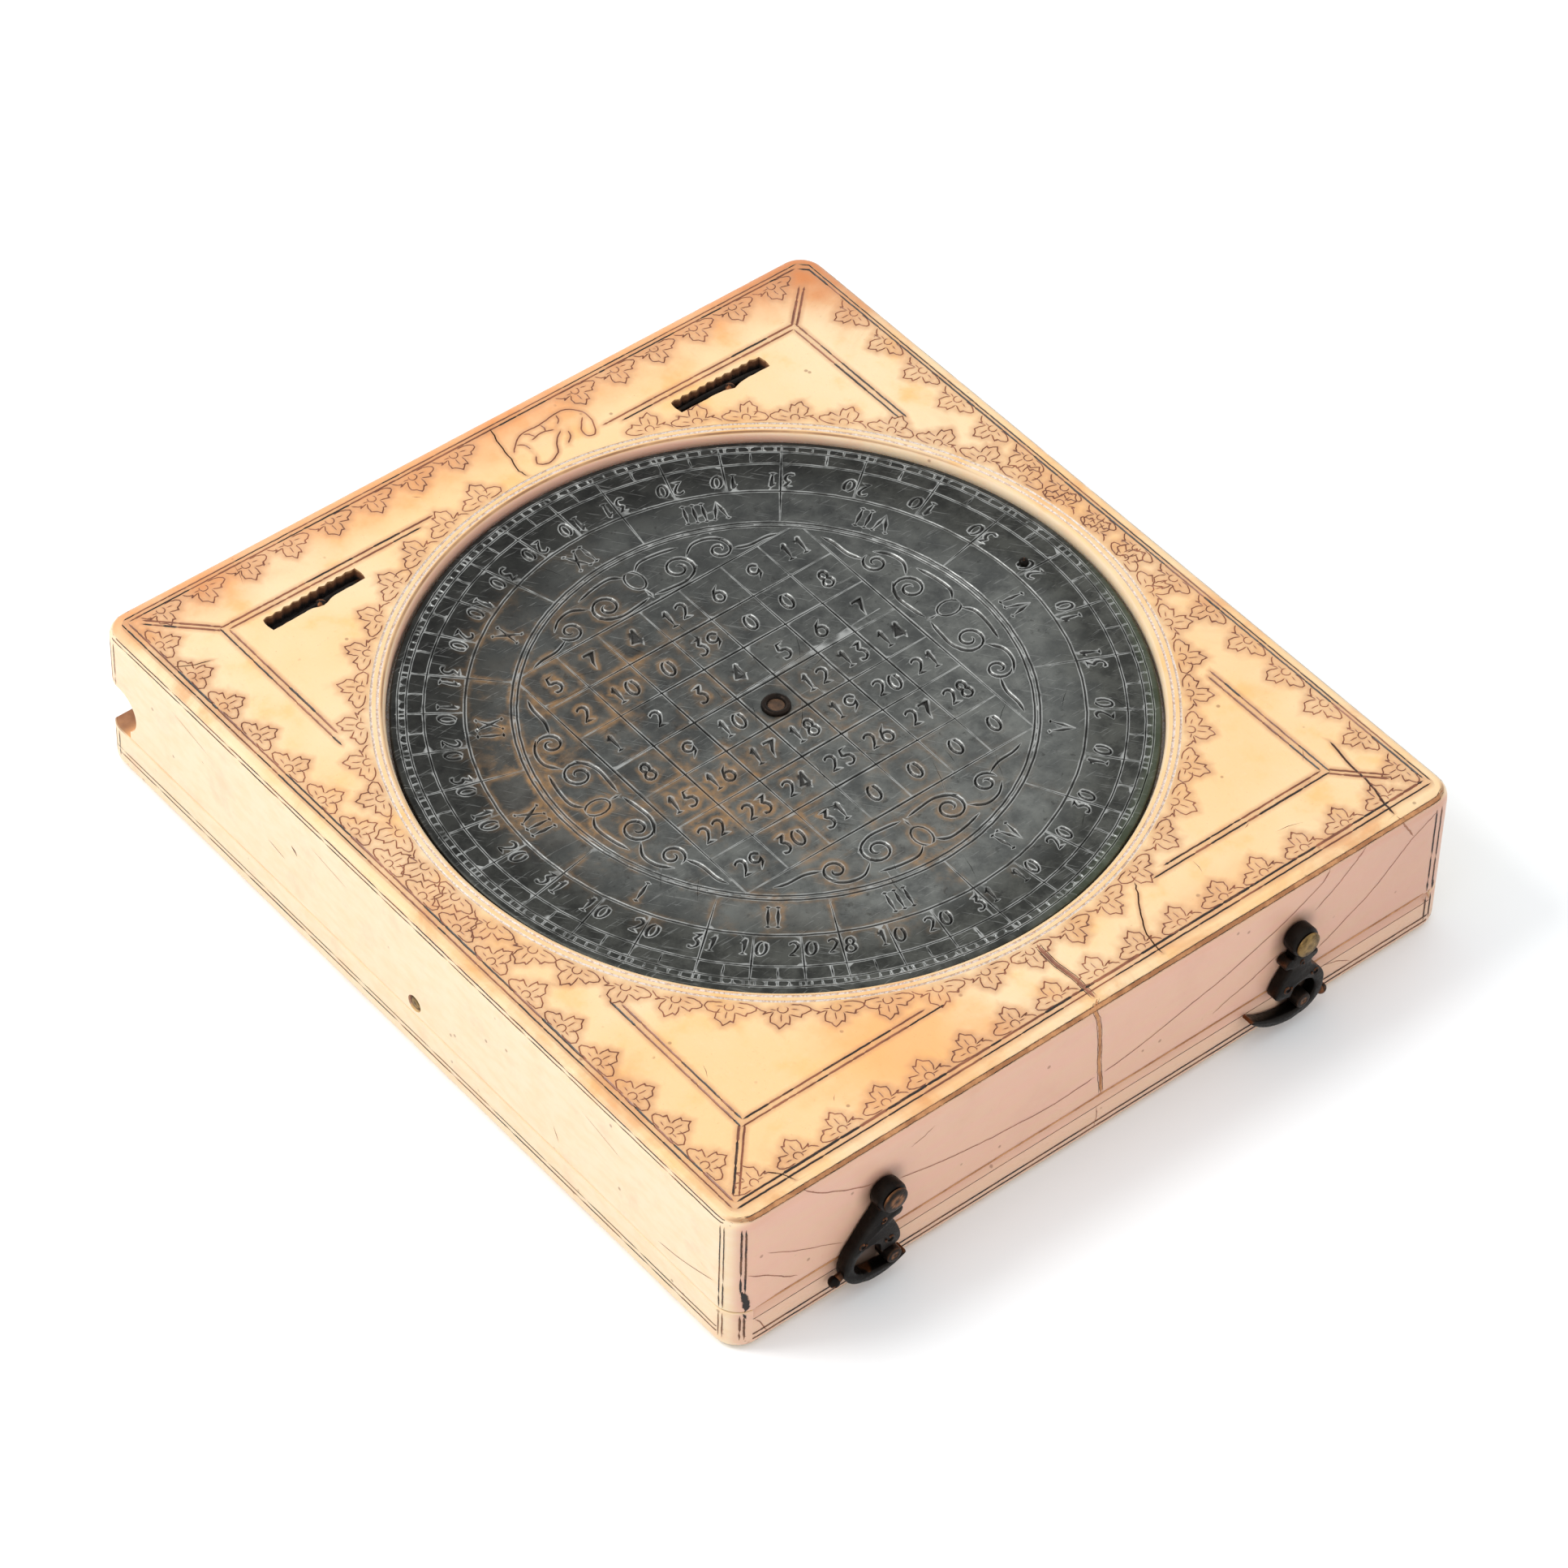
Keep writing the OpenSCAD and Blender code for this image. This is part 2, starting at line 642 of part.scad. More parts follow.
module hook_rivet(x) {
    head_h = 0.3;
    front = hook_gap + boss_t + run;
    color(bronze) translate([x, -half_l, rivet_z]) {
        bar_to_front(rivet_r, rivet_in, rivet_in + front);
        bar_to_front(rivet_head_r, -front, head_h);
    }
}

module hook_rivet_left() { hook_rivet(hook_left_x); }
module hook_rivet_right() { hook_rivet(hook_right_x); }

upper_leaf();
lunar_disc();
lunar_eyelet();
catch_peg_left();
catch_peg_right();
hinge_wire_left_upper();
hinge_wire_right_upper();
hinge_wire_left_lower();
hinge_wire_right_lower();
lower_leaf();
calendar_disc();
calendar_arbor();
turning_peg();
crank_plate();
crank_pin();
needle_pivot();
hour_plate();
hour_guide_east();
hour_guide_west();
compass_card();
compass_needle();
needle_cap();
compass_glass();
glass_ring();
pin_gnomon();
hook_left();
hook_right();
hook_rivet_left();
hook_rivet_right();
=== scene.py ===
import bmesh
import bpy
import math
import random
from mathutils import Matrix, Vector
from mathutils.geometry import delaunay_2d_cdt


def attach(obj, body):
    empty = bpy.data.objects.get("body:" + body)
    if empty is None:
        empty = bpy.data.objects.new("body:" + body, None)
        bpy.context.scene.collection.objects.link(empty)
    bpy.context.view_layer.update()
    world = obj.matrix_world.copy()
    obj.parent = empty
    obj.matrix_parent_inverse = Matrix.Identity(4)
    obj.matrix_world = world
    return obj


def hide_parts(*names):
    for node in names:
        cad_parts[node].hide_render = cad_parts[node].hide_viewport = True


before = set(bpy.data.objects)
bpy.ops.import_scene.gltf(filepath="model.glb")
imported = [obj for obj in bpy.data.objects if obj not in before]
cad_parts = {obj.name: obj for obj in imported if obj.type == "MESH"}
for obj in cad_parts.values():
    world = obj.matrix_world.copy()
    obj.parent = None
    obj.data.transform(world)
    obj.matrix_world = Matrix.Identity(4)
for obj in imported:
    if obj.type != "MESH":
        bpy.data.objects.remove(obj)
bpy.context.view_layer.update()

# Sizes in millimetres, as in the part's source
MM = 0.001
HW, HL = 33.0, 36.5
UPPER_T, INNER_Z, TOP_Z = 3.9, 4.0, 13.3
CORNER_R, ARRIS_R = 2.1, 0.9
DIAL = (0.5, 0.2)
DISC_R, DISC_TOP, DISC_T = 27.6, 12.7, 1.0
RECESS_R, RECESS_FLOOR, BAND_R = 27.85, 11.65, 29.05
HINGE_X = (-19.3, 18.2)
HINGE_Y, HINGE_Z = 35.4, 5.35
COVE_Y, COVE_Z, COVE_R, COVE_LIP = 34.15, 6.35, 1.95, 33.05
NOSE_Y, NOSE_Z, NOSE_R = 32.1, 1.95, 4.0
BEVEL_END, BEVEL_Y, BEVEL_H = 1.8, 0.55, 0.8
SLOT_Y, UPPER_SLOT_Y, SLOT_L, SLOT_W, SLOT_D = 28.3, 33.78, 8.4, 1.3, 1.2
SLOT_YS = (28.74, 28.45)  # middles of the two ragged slots as measured on the face
LUNAR, LUNAR_R, LUNAR_TOP = (0.0, -3.0), 19.0, 3.65
WELL_R, LEDGE_R, WELL_Z, LEDGE_Z, CARD_Z = 15.8, 17.0, 9.6, 5.4, 9.35
PLATE_LOW, PLATE_HIGH = 7.35, 8.15
PIN_Y, PIN_Z, PIN_R = -1.1, 5.1, 0.62
PEG_R = 23.45
RIVET_X, RIVET_Z, CATCH_X, CATCH_Z = (-20.2, 17.5), 8.8, 0.325, 2.6
INSET = 0.016  # how far the dressed sides lie inside the solids
EDGE = ARRIS_R + 0.06  # where a face with a rounded edge begins
INNER_EDGE = 0.14  # where a face with a sharp edge begins
CELL = 0.6  # squares in which the strokes near a point are looked up

# Share of red, green and blue light that the ivory gives back
ALBEDO = (0.80, 0.757, 0.757)
rng = random.Random(11)


def between(p, q, t):
    return tuple(a + (b - a) * t for a, b in zip(p, q))


def polar(c, r, a):
    return (c[0] + r * math.cos(a), c[1] + r * math.sin(a))


# Materials
def lin(r, g, b):
    """sRGB 0..255 to linear."""
    parts = (r / 255, g / 255, b / 255)
    return tuple(c / 12.92 if c <= 0.04045 else ((c + 0.055) / 1.055) ** 2.4 for c in parts)


class Value:
    """A node's output. Arithmetic on it adds nodes to its material."""

    def __init__(self, mat, sock):
        self.mat, self.sock = mat, sock

    def calc(self, op, a, b, clamp=False):
        if self.sock.type == "VALUE" and not isinstance(b, tuple):
            return self.mat.node("Math", (a, b), operation=op, use_clamp=clamp)
        return self.mat.node("VectorMath", (a, b), operation=op)

    def __add__(self, other):
        return self.calc("ADD", self, other)

    def __sub__(self, other):
        return self.calc("SUBTRACT", self, other)

    def __rsub__(self, other):
        return self.calc("SUBTRACT", other, self)

    def __mul__(self, other):
        return self.calc("MULTIPLY", self, other)

    def __abs__(self):
        return self.calc("ABSOLUTE", self, 0.0)


class Mat:
    """A node material with short helpers. Its coordinates are in millimetres."""

    def __init__(self, name):
        self.m = bpy.data.materials.new(name)
        self.m.use_nodes = True
        self.t = self.m.node_tree
        self.t.nodes.clear()
        self.shader = self.t.nodes.new("ShaderNodeBsdfPrincipled")
        out = self.t.nodes.new("ShaderNodeOutputMaterial")
        self.t.links.new(self.shader.outputs[0], out.inputs[0])
        self.p = self.node("TexCoord", out="Object") * (1000, 1000, 1000)
        self.x, self.y, self.z = self.split(self.p)

    def put(self, sock, v):
        """A link, a number or a colour, which is sRGB 0..255."""
        if isinstance(v, Value):
            self.t.links.new(v.sock, sock)
        elif isinstance(v, tuple) and sock.type == "RGBA":
            sock.default_value = (*lin(*v), 1)
        else:
            sock.default_value = v

    def node(self, kind, inputs=(), out=0, **settings):
        """The output of a new node, its inputs given in order or by name."""
        n = self.t.nodes.new("ShaderNode" + kind)
        for key, v in settings.items():
            setattr(n, key, v)
        for key, v in inputs.items() if isinstance(inputs, dict) else enumerate(inputs):
            self.put(n.inputs[key], v)
        return Value(self, n.outputs[out])

    def split(self, v):
        n = self.t.nodes.new("ShaderNodeSeparateXYZ")
        self.put(n.inputs[0], v)
        return [Value(self, s) for s in n.outputs]

    def away(self, point, flat=False):
        """Distance from a point, in plan only if flat."""
        p = self.p * (1, 1, 0) if flat else self.p
        return self.node("VectorMath", (p, point), "Value", operation="DISTANCE")

    def noise(self, scale, detail=3.0, rough=0.55, stretch=None, at=None, distort=0.0):
        at = at or self.p
        at = at * stretch if stretch else at
        return self.node("TexNoise", {"Vector": at, "Scale": scale, "Detail": detail, "Roughness": rough,
                                      "Distortion": distort})

    def span(self, v, a, b, c=0.0, d=1.0):
        """v mapped from a..b to c..d, smooth and clamped."""
        return self.node("MapRange", (v, a, b, c, d), interpolation_type="SMOOTHSTEP")

    def mix(self, f, a, b):
        return self.node("Mix", {0: f, 6: a, 7: b}, 2, data_type="RGBA")

    def attr(self, name):
        return self.node("Attribute", out="Fac", attribute_name=name)

    def bump(self, height, strength, dist):
        return self.node("Bump", {"Strength": strength, "Distance": dist * MM, "Height": height})

    def done(self, **sockets):
        for key, v in sockets.items():
            self.put(self.shader.inputs[key.replace("_", " ")], v)
        return self.m


def ivory_top(m, big, mid, fine):
    """Aged upper faces: cream to orange, stained towards the outline and the back right corner."""
    c = m.mix(m.span(big, 0.36, 0.66), (250, 226, 181), (252, 213, 155))
    c = m.mix(m.span(mid, 0.52, 0.74, 0, 0.8), c, (250, 200, 126))
    c = m.mix(m.span(fine, 0.5, 0.9, 0, 0.2), c, (250, 236, 200))
    patch = m.away((-13.5, -31.0, 0), True) + mid * 12
    c = m.mix(m.span(patch, 15, 8, 0, 0.7), c, (248, 176, 92))
    room = m.node("Math", (HW - abs(m.x), HL - abs(m.y)), operation="MINIMUM")
    stain = m.span(room, 0.6, 6.5, 1.0, 0.0) * m.span(m.noise(0.13, 5, 0.62, distort=0.6), 0.44, 0.72)
    c = m.mix(stain * 0.75, c, (226, 156, 92))
    c = m.mix(m.span(m.y + mid * 8, 34, 41) * 0.6, c, (232, 142, 70))
    return m.mix(m.span(m.x + m.y + mid * 6, 58, 70) * 0.75, c, (206, 124, 66))


def ivory_sides(m, mid, front):
    """Cream sides, and a pink front that darkens to the right and is paler on the upper leaf."""
    streak = m.noise(0.5, 3, 0.6, (0.25, 1.0, 2.6))
    s = m.mix(m.span(streak, 0.35, 0.75), (247, 228, 193), (246, 220, 179))
    s = m.mix(m.span(mid, 0.5, 0.8, 0, 0.4), s, (244, 212, 168))
    s = m.mix(m.span(m.noise(0.3, 5, 0.7), 0.52, 0.72, 0, 0.5), s, (244, 206, 172))
    f = m.mix(m.span(streak, 0.3, 0.75), (236, 190, 166), (234, 195, 164))
    f = m.mix(m.span(mid, 0.45, 0.85, 0, 0.5), f, (222, 176, 152))
    f = m.mix(m.span(m.x, 8, 33, 0, 0.45), f, (206, 162, 142))
    f = m.mix(m.span(m.z, 3.2, 2.9, 0, 0.55), f, (238, 206, 174))
    return m.mix(m.span(front, 0.5, 0.85), s, f)


def ivory_ink(m, c):
    """Ink, leaf strokes and white residue in the engraving, with a stain beside them."""
    tone = m.attr("tone")
    wear = m.noise(0.35, 4, 0.7)
    rag = m.noise(5.0, 3, 0.7)
    dark = m.mix(m.span(wear, 0.5, 0.68), (34, 25, 20), (104, 68, 44))
    leaf = m.mix(m.span(wear, 0.35, 0.65), (122, 74, 50), (168, 110, 78))
    white = m.mix(m.span(rag, 0.35, 0.6), (200, 172, 146), (236, 228, 218))
    ink = m.mix(m.span(tone, 0.25, 0.75), dark, leaf)
    ink = m.mix(m.span(tone, 1.25, 1.75), ink, white)
    c = m.mix(m.attr("halo") * m.span(wear, 0.25, 0.7, 0.8, 0.45), c, (200, 146, 102))
    return m.mix(m.span(m.attr("ink") + rag * 0.5 - 0.32, -0.02, 0.2), c, ink)


def ivory(name, inked=False):
    m = Mat(name)
    big = m.noise(0.055, 3, 0.6)
    mid = m.noise(0.22, 4, 0.6)
    fine = m.noise(1.6, 4, 0.65)
    grain = m.noise(2.2, 3, 0.7, (1.0, 0.12, 1.0))
    _, ny, nz = m.split(m.node("TexCoord", out="Normal"))
    front = ny * -1.0
    fore = m.span(front, 0.1, 0.4)
    c = m.mix(m.span(abs(nz), 0.66, 0.8), ivory_sides(m, mid, front), ivory_top(m, big, mid, fine))
    # the rounded top edges a little darker all along, and much darker in front: painted shade where the front
    # of the edge lies in shade
    high = m.span(m.z, 12.1, 12.5)
    bead_painted_shade = m.span(nz, 0.985, 0.9) * m.span(nz, 0.6, 0.75) * high
    c = m.mix(bead_painted_shade * (fore * 0.3 + 0.1), c, (196, 142, 88))
    # a brown strip on the front of the rounded edge: more painted shade there
    strip = m.span(nz, 0.95, 0.9) * m.span(nz, 0.72, 0.78) * high * (fore * m.span(mid, 0.3, 0.6, 0.35, 0.8))
    c = m.mix(strip, c, (128, 86, 54))
    # darker brown on the lid's nose under the lower leaf's cove, behind the joint
    nose = m.span(m.y, 33.4, 34.6) * (m.span(nz, 0.2, 0.6) * m.span(m.z, 4.4, 3.9))
    c = m.mix(nose * m.span(mid, 0.35, 0.6, 0.4, 0.8), c, (112, 72, 44))
    # dark stains round the hooks' rivets, and painted shade behind the hooks' eyes, where their holes look
    # onto the face
    for x in RIVET_X:
        gap = m.away((x, -HL, RIVET_Z)) + mid * 1.4
        c = m.mix(m.span(gap, 3.2, 1.6, 0, 0.55), c, (96, 62, 40))
    # painted shade: near black on the face behind each hook's eye
    for x, z in ((-21.5, 2.8), (18.2, 2.5)):
        c = m.mix(m.span(m.away((x, -HL, z)), 2.0, 1.3, 0, 0.9), c, (40, 28, 21))
    c = m.mix(m.span(grain, 0.62, 0.85, 0, 0.16), c, (190, 130, 80))
    # little dark pits
    cells = m.node("TexVoronoi", {"Vector": m.p, "Scale": 0.55}, "Distance")
    pits = m.span(cells, 0.05, 0.11, 1, 0) * m.span(m.noise(0.3, 2), 0.5, 0.56)
    c = m.mix(pits * 0.55, c, (120, 74, 40))
    if inked:
        c = ivory_ink(m, c)
    return m.done(Base_Color=c * ALBEDO, Roughness=m.span(fine, 0.2, 0.8, 0.34, 0.5),
                  Normal=m.bump(fine * 0.5 + grain * 0.5, 0.35, 0.03), Subsurface_Weight=0.22,
                  Subsurface_Radius=(1.0, 0.55, 0.3), Subsurface_Scale=0.0012, Specular_IOR_Level=0.45)


def ink_line(name, dark, worn, strength=1.0):
    """Thin marks laid on a surface: lines, hairlines and cracks, with ragged, worn ink."""
    m = Mat(name)
    wear = m.noise(0.3, 4, 0.7)
    a = m.attr("ink") + m.noise(4.0, 3, 0.7) * 0.7 - 0.5
    a = m.span(a, 0.0, 0.4) * m.span(wear, 0.6, 0.75, strength, strength * 0.55)
    return m.done(Base_Color=m.mix(m.span(wear, 0.42, 0.6), dark, worn), Alpha=a, Roughness=0.7)


def pewter_ink(m, c, r, big, mid, rim):
    """Dark cuts with bright or brown edges, and the brown film over them. The bright edges and the light grey
    in the ticks are painted highlights.
    """
    ink, halo = m.attr("ink"), m.attr("halo")
    # orange-brown residue beside the lines, mostly in the middle and on the left
    rust = m.span(m.noise(0.2, 4, 0.65), 0.4, 0.62) * m.span(m.x + m.y * 0.3 + big * 10, 15, -4) * (1.0 - rim)
    beside = m.span(halo, 0.05, 0.75) * m.span(m.noise(1.1, 3), 0.3, 0.6, 0.35, 1)
    cell = m.span(m.noise(0.3, 5, 0.7), 0.54, 0.66, 0.04, 0.36)
    film = rust.calc("MULTIPLY", rust, cell + beside * 0.7, True)
    c = m.mix(film, c, m.mix(mid, (118, 88, 52), (158, 118, 70)))
    # painted highlight: light grey beside the cuts, where their edges would catch the light
    bright = m.span(halo, 0.8, 0.96) * m.span(m.noise(0.7, 3), 0.35, 0.6, 0.2, 0.8)
    c = m.mix(bright * (1.0 - film * 0.7), c, (172, 174, 172))
    c = m.mix(m.span(ink, 0.08, 0.5, 0, 0.9), c, (22, 21, 19))
    # painted highlight: light grey in the day ticks, the strokes of tone 1
    tick_highlight = m.span(m.attr("tone"), 0.5, 1.0) * m.span(ink, 0.05, 0.4)
    c = m.mix(tick_highlight * m.span(m.noise(0.3, 3), 0.35, 0.6, 0.35, 1.0), c, (168, 172, 170))
    green = m.span(m.x - m.y, 26, 36) * m.span(r, 26.3, 27.2)
    return m.mix(green * 0.3, c, (84, 98, 66)), film


def pewter(name, inked=True, outer=21.5):
    m = Mat(name)
    big = m.noise(0.09, 4, 0.6)
    mid = m.noise(0.5, 5, 0.65)
    fine = m.noise(3.0, 4, 0.7)
    r = m.away((*DIAL, 0), True)
    turned = m.node("VectorRotate", {"Vector": m.p, "Axis": (0, 0, 1), "Angle": 0.9})
    scratch = m.node("Math", (m.span(m.noise(1.0, 2, 0.6, (0.5, 7.0, 1.0)), 0.64, 0.7),
                              m.span(m.noise(1.0, 2, 0.6, (0.35, 8.0, 1.0), turned), 0.65, 0.7)),
                     operation="MAXIMUM")
    c = m.mix(m.span(mid, 0.3, 0.72), (60, 62, 61), (94, 96, 93))
    c = m.mix(m.span(big, 0.4, 0.7, 0, 0.4), c, (74, 76, 74))
    # painted light and shade: brighter towards the front left and darker towards the back; then a dark outer
    # ring
    painted_light_axis = m.x * 0.3 - m.y
    c = c * m.span(painted_light_axis, -16, 22, 0.72, 1.5)
    rim = m.span(r + (big * 7.0 + mid * 3.0), outer + 3.5, outer + 8.0)
    c = m.mix(rim * 0.92, c, m.mix(m.span(mid, 0.35, 0.65), (30, 31, 28), (60, 61, 57)))
    # painted light on the outer ring: brighter in front, darker at the back
    c = m.mix(rim, c, c * m.span(painted_light_axis, -26, 20, 0.46, 1.34))
    c = m.mix(scratch * 0.22, c, (160, 162, 160))
    c = m.mix(m.span(m.noise(1.3, 5, 0.7), 0.58, 0.7) * 0.55, c, (34, 34, 32))
    rough = m.span(mid, 0.25, 0.75, 0.3, 0.5)
    metallic = 0.75
    if inked:
        c, film = pewter_ink(m, c, r, big, mid, rim)
        metallic = metallic - film * 0.55
        rough = rough + film * 0.15
    return m.done(Base_Color=c, Roughness=rough, Metallic=metallic,
                  Normal=m.bump(fine * 0.4 + mid * 0.9 - scratch * 0.25, 0.5, 0.05))


def metal(name, base, dark, worn, rough=0.4, scale=1.0, wear=0.5, metallic=0.9):
    """Cast or drawn metal with patina, and bright wear on its proud edges."""
    m = Mat(name)
    big = m.noise(0.6 * scale, 4, 0.65)
    fine = m.noise(5.0 * scale, 4, 0.7)
    c = m.mix(m.span(big, 0.35, 0.7), base, dark)
    proud = m.node("NewGeometry", out="Pointiness") + big * 0.1
    c = m.mix(m.span(proud, 0.6, 0.68) * wear, c, worn)
    c = m.mix(m.span(fine, 0.55, 0.75, 0, 0.3), c, dark)
    return m.done(Base_Color=c, Metallic=metallic, Normal=m.bump(big + fine * 0.5, 0.5, 0.06),
                  Roughness=m.span(fine, 0.3, 0.7, rough - 0.08, rough + 0.14))


def slot_grime():
    """Slot walls: pale at the face, brown, then black at the bottom: painted shade that deepens down the
    slot.
    """
    m = Mat("slot_grime")
    n = m.noise(2.5, 4, 0.7)
    e = abs(m.z - TOP_Z / 2) + (n - 0.5) * 0.5
    c = m.mix(m.span(e, 5.7, 6.25), (20, 14, 11), (112, 70, 42))
    c = m.mix(m.span(e, 6.35, 6.7), c, (206, 160, 112))
    return m.done(Base_Color=c, Roughness=0.8, Normal=m.bump(n, 0.8, 0.15))


def clear_glass():
    m = Mat("compass_glass")
    return m.done(Base_Color=m.mix(m.noise(0.2, 3), (246.99, 251.61, 250.46), (251.61, 252.75, 249.31)),
                  Roughness=m.span(m.noise(1.5, 4), 0.3, 0.8, 0.01, 0.05), Transmission_Weight=1.0, IOR=1.45)


def card_paper():
    m = Mat("card_paper")
    c = m.mix(m.span(m.noise(0.3, 4), 0.35, 0.7), (232, 216, 178), (206, 178, 130))
    c = m.mix(m.span(m.attr("ink"), 0.3, 0.7), c, (52, 40, 34))
    return m.done(Base_Color=c, Roughness=0.85, Normal=m.bump(m.noise(4.0, 4, 0.7), 0.4, 0.02))


def floor_paint():
    m = Mat("floor")
    return m.done(Base_Color=m.mix(m.noise(0.02, 2), (239.22, 242.85, 245.23), (240.44, 243.44, 245.81)),
                  Roughness=0.9, Specular_IOR_Level=0.1)


IVORY = ivory("ivory")
IVORY_INK = ivory("ivory_engraved", True)
# ink for the lines, and painted shade for the notches at the ends of the front joint
INK_LINE_AND_SHADE = ink_line("ink_line", (24, 17, 14), (104, 66, 42))
# brown for cracks and the joint, and for painted shade on the front's rounded top edge
CRACK_AND_SHADE = ink_line("crack_and_shade_line", (150, 98, 58), (186, 132, 86))
HAIR = ink_line("hairline", (130, 84, 66), (160, 112, 88), 0.85)
PEWTER = pewter("pewter_engraved")
PEWTER_PLAIN = pewter("pewter", False, 60)
PEWTER_LUNAR = pewter("pewter_lunar", True, 60)
BRONZE = metal("bronze", (30, 26, 23), (14, 12, 11), (140, 88, 54), wear=0.55)
BRONZE_WORN = metal("bronze_worn", (42, 33, 27), (20, 16, 14), (160, 108, 70), 0.38, 1.4, 0.7)
RIVET_GOLD = metal("rivet_gold", (136, 110, 66), (58, 42, 26), (190, 158, 104), 0.4, 2.2, 0.35)
HOLLOW = metal("rivet_hollow", (90, 64, 44), (46, 32, 22), (104, 76, 50), 0.6, 2.0, 0.2, 0.3)
BRASS = metal("brass", (186, 148, 84), (140, 104, 56), (214, 184, 124), 0.32)
BRASS_OLD = metal("brass_old", (98, 74, 44), (56, 42, 26), (176, 146, 92))
STEEL = metal("blued_steel", (44, 58, 92), (28, 34, 52), (120, 130, 150), 0.28)
SLOT_SHADE, GLASS, PAPER = slot_grime(), clear_glass(), card_paper()


# Meshes, as pairs of points and faces
def piece(name, shape, mat, body, smooth=40, attrs=None, replaces=()):
    """A mesh that rides a body, smooth where its faces meet under the given angle."""
    verts, faces = shape
    me = bpy.data.meshes.new(name)
    me.from_pydata([(x * MM, y * MM, z * MM) for x, y, z in verts], [], faces)
    for key, vals in (attrs or {}).items():
        me.attributes.new(key, "FLOAT", "POINT").data.foreach_set("value", vals)
    if smooth:
        me.shade_smooth()
        me.set_sharp_from_angle(angle=math.radians(smooth))
    me.materials.append(mat)
    me.update()
    o = bpy.data.objects.new(name, me)
    bpy.context.scene.collection.objects.link(o)
    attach(o, body)
    if replaces:
        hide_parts(*replaces)
    return o


def revolve(profile, n, centre=(0, 0), z=0.0):
    """Surface of revolution of (radius, height) points about a vertical axis."""
    m = len(profile)
    v, f = [], []
    for k in range(n):
        t = 2 * math.pi * k / n
        j = (k + 1) % n
        v += [(r * math.cos(t) + centre[0], r * math.sin(t) + centre[1], h + z) for r, h in profile]
        f += [(k * m + i, j * m + i, j * m + i + 1, k * m + i + 1) for i in range(m - 1)]
    return v, f


def inside_out(shape):
    return shape[0], [tuple(reversed(q)) for q in shape[1]]


def loft(loops, caps=(True, True)):
    """Closed loops of equal length joined by quads."""
    n, last = len(loops[0]), len(loops) - 1
    v = [p for loop in loops for p in loop]
    f = [(k * n + i, k * n + j, (k + 1) * n + j, (k + 1) * n + i)
         for k in range(last) for i, j in ((i, (i + 1) % n) for i in range(n))]
    if caps[0]:
        f.append(tuple(reversed(range(n))))
    if caps[1]:
        f.append(tuple(range(last * n, last * n + n)))
    return v, f


def join(*shapes):
    v, f = [], []
    for points, faces in shapes:
        f += [tuple(i + len(v) for i in q) for q in faces]
        v += points
    return v, f


def sweep(path, radius, n=12):
    """Round wire along a path; radius is a number or one per point."""
    pts = [Vector(p) for p in path]
    rs = radius if isinstance(radius, list) else [radius] * len(pts)
    loops, u = [], None
    for i, p in enumerate(pts):
        d = (pts[min(i + 1, len(pts) - 1)] - pts[max(i - 1, 0)]).normalized()
        u = u or d.orthogonal().normalized()
        u = (u - d * u.dot(d)).normalized()
        w = d.cross(u)
        turns = (2 * math.pi * k / n for k in range(n))
        loops.append([tuple(p + (u * math.cos(t) + w * math.sin(t)) * rs[i]) for t in turns])
    return loft(loops)


def ball(c, r, n=24):
    loops = []
    for i in range(1, n // 2):
        a = math.pi * i / (n // 2)
        low = r * math.sin(a)
        loops.append([(*polar(c, low, 2 * math.pi * k / n), c[2] - r * math.cos(a)) for k in range(n)])
    return loft(loops)


def prism_x(pts, x0, x1):
    """(y, z) polygon drawn out along X."""
    return loft([[(x0, y, z) for y, z in pts], [(x1, y, z) for y, z in pts]])


def outline(d):
    """Plan of a leaf with its round corners, moved in by d."""
    r = max(CORNER_R - d, 0.05)
    x, y = HW - INSET - d - r, HL - INSET - d - r
    corners = ((1, 1), (-1, 1), (-1, -1), (1, -1))
    pts = []
    for k, (sx, sy) in enumerate(corners):
        pts += [polar((sx * x, sy * y), r, math.pi / 2 * (k + i / 9)) for i in range(10)]
        nx, ny = corners[(k + 1) % 4]
        end = polar((nx * x, ny * y), r, math.pi / 2 * (k + 1))
        start = pts[-1]
        pts += [between(start, end, i / 30) for i in range(1, 30)]
    return pts


def in_outline(x, y, d):
    r = max(CORNER_R - d, 0.05)
    ax, ay = abs(x) - (HW - INSET - d - r), abs(y) - (HL - INSET - d - r)
    if ax > 0 and ay > 0:
        return ax * ax + ay * ay <= r * r
    return ax <= r and ay <= r


def cut_off(pts, low, high):
    """An outline kept above low(x) and below high in Y, without doubled points."""
    out = []
    for x, y in pts:
        p = (x, max(min(y, high), low(x)))
        if not out or math.dist(p, out[-1]) > 1e-6:
            out.append(p)
    return out


def in_poly(x, y, pts):
    inside = False
    for (x1, y1), (x2, y2) in zip([pts[-1]] + pts, pts):
        if (y1 > y) != (y2 > y) and x < (x2 - x1) * (y - y1) / (y2 - y1) + x1:
            inside = not inside
    return inside


def scratch_object(v, f):
    """An object for a cut, its faces turned outwards."""
    me = bpy.data.meshes.new("carving")
    me.from_pydata(v, [], f)
    bm = bmesh.new()
    bm.from_mesh(me)
    bmesh.ops.recalc_face_normals(bm, faces=bm.faces)
    bm.to_mesh(me)
    bm.free()
    o = bpy.data.objects.new("carving", me)
    bpy.context.scene.collection.objects.link(o)
    return o


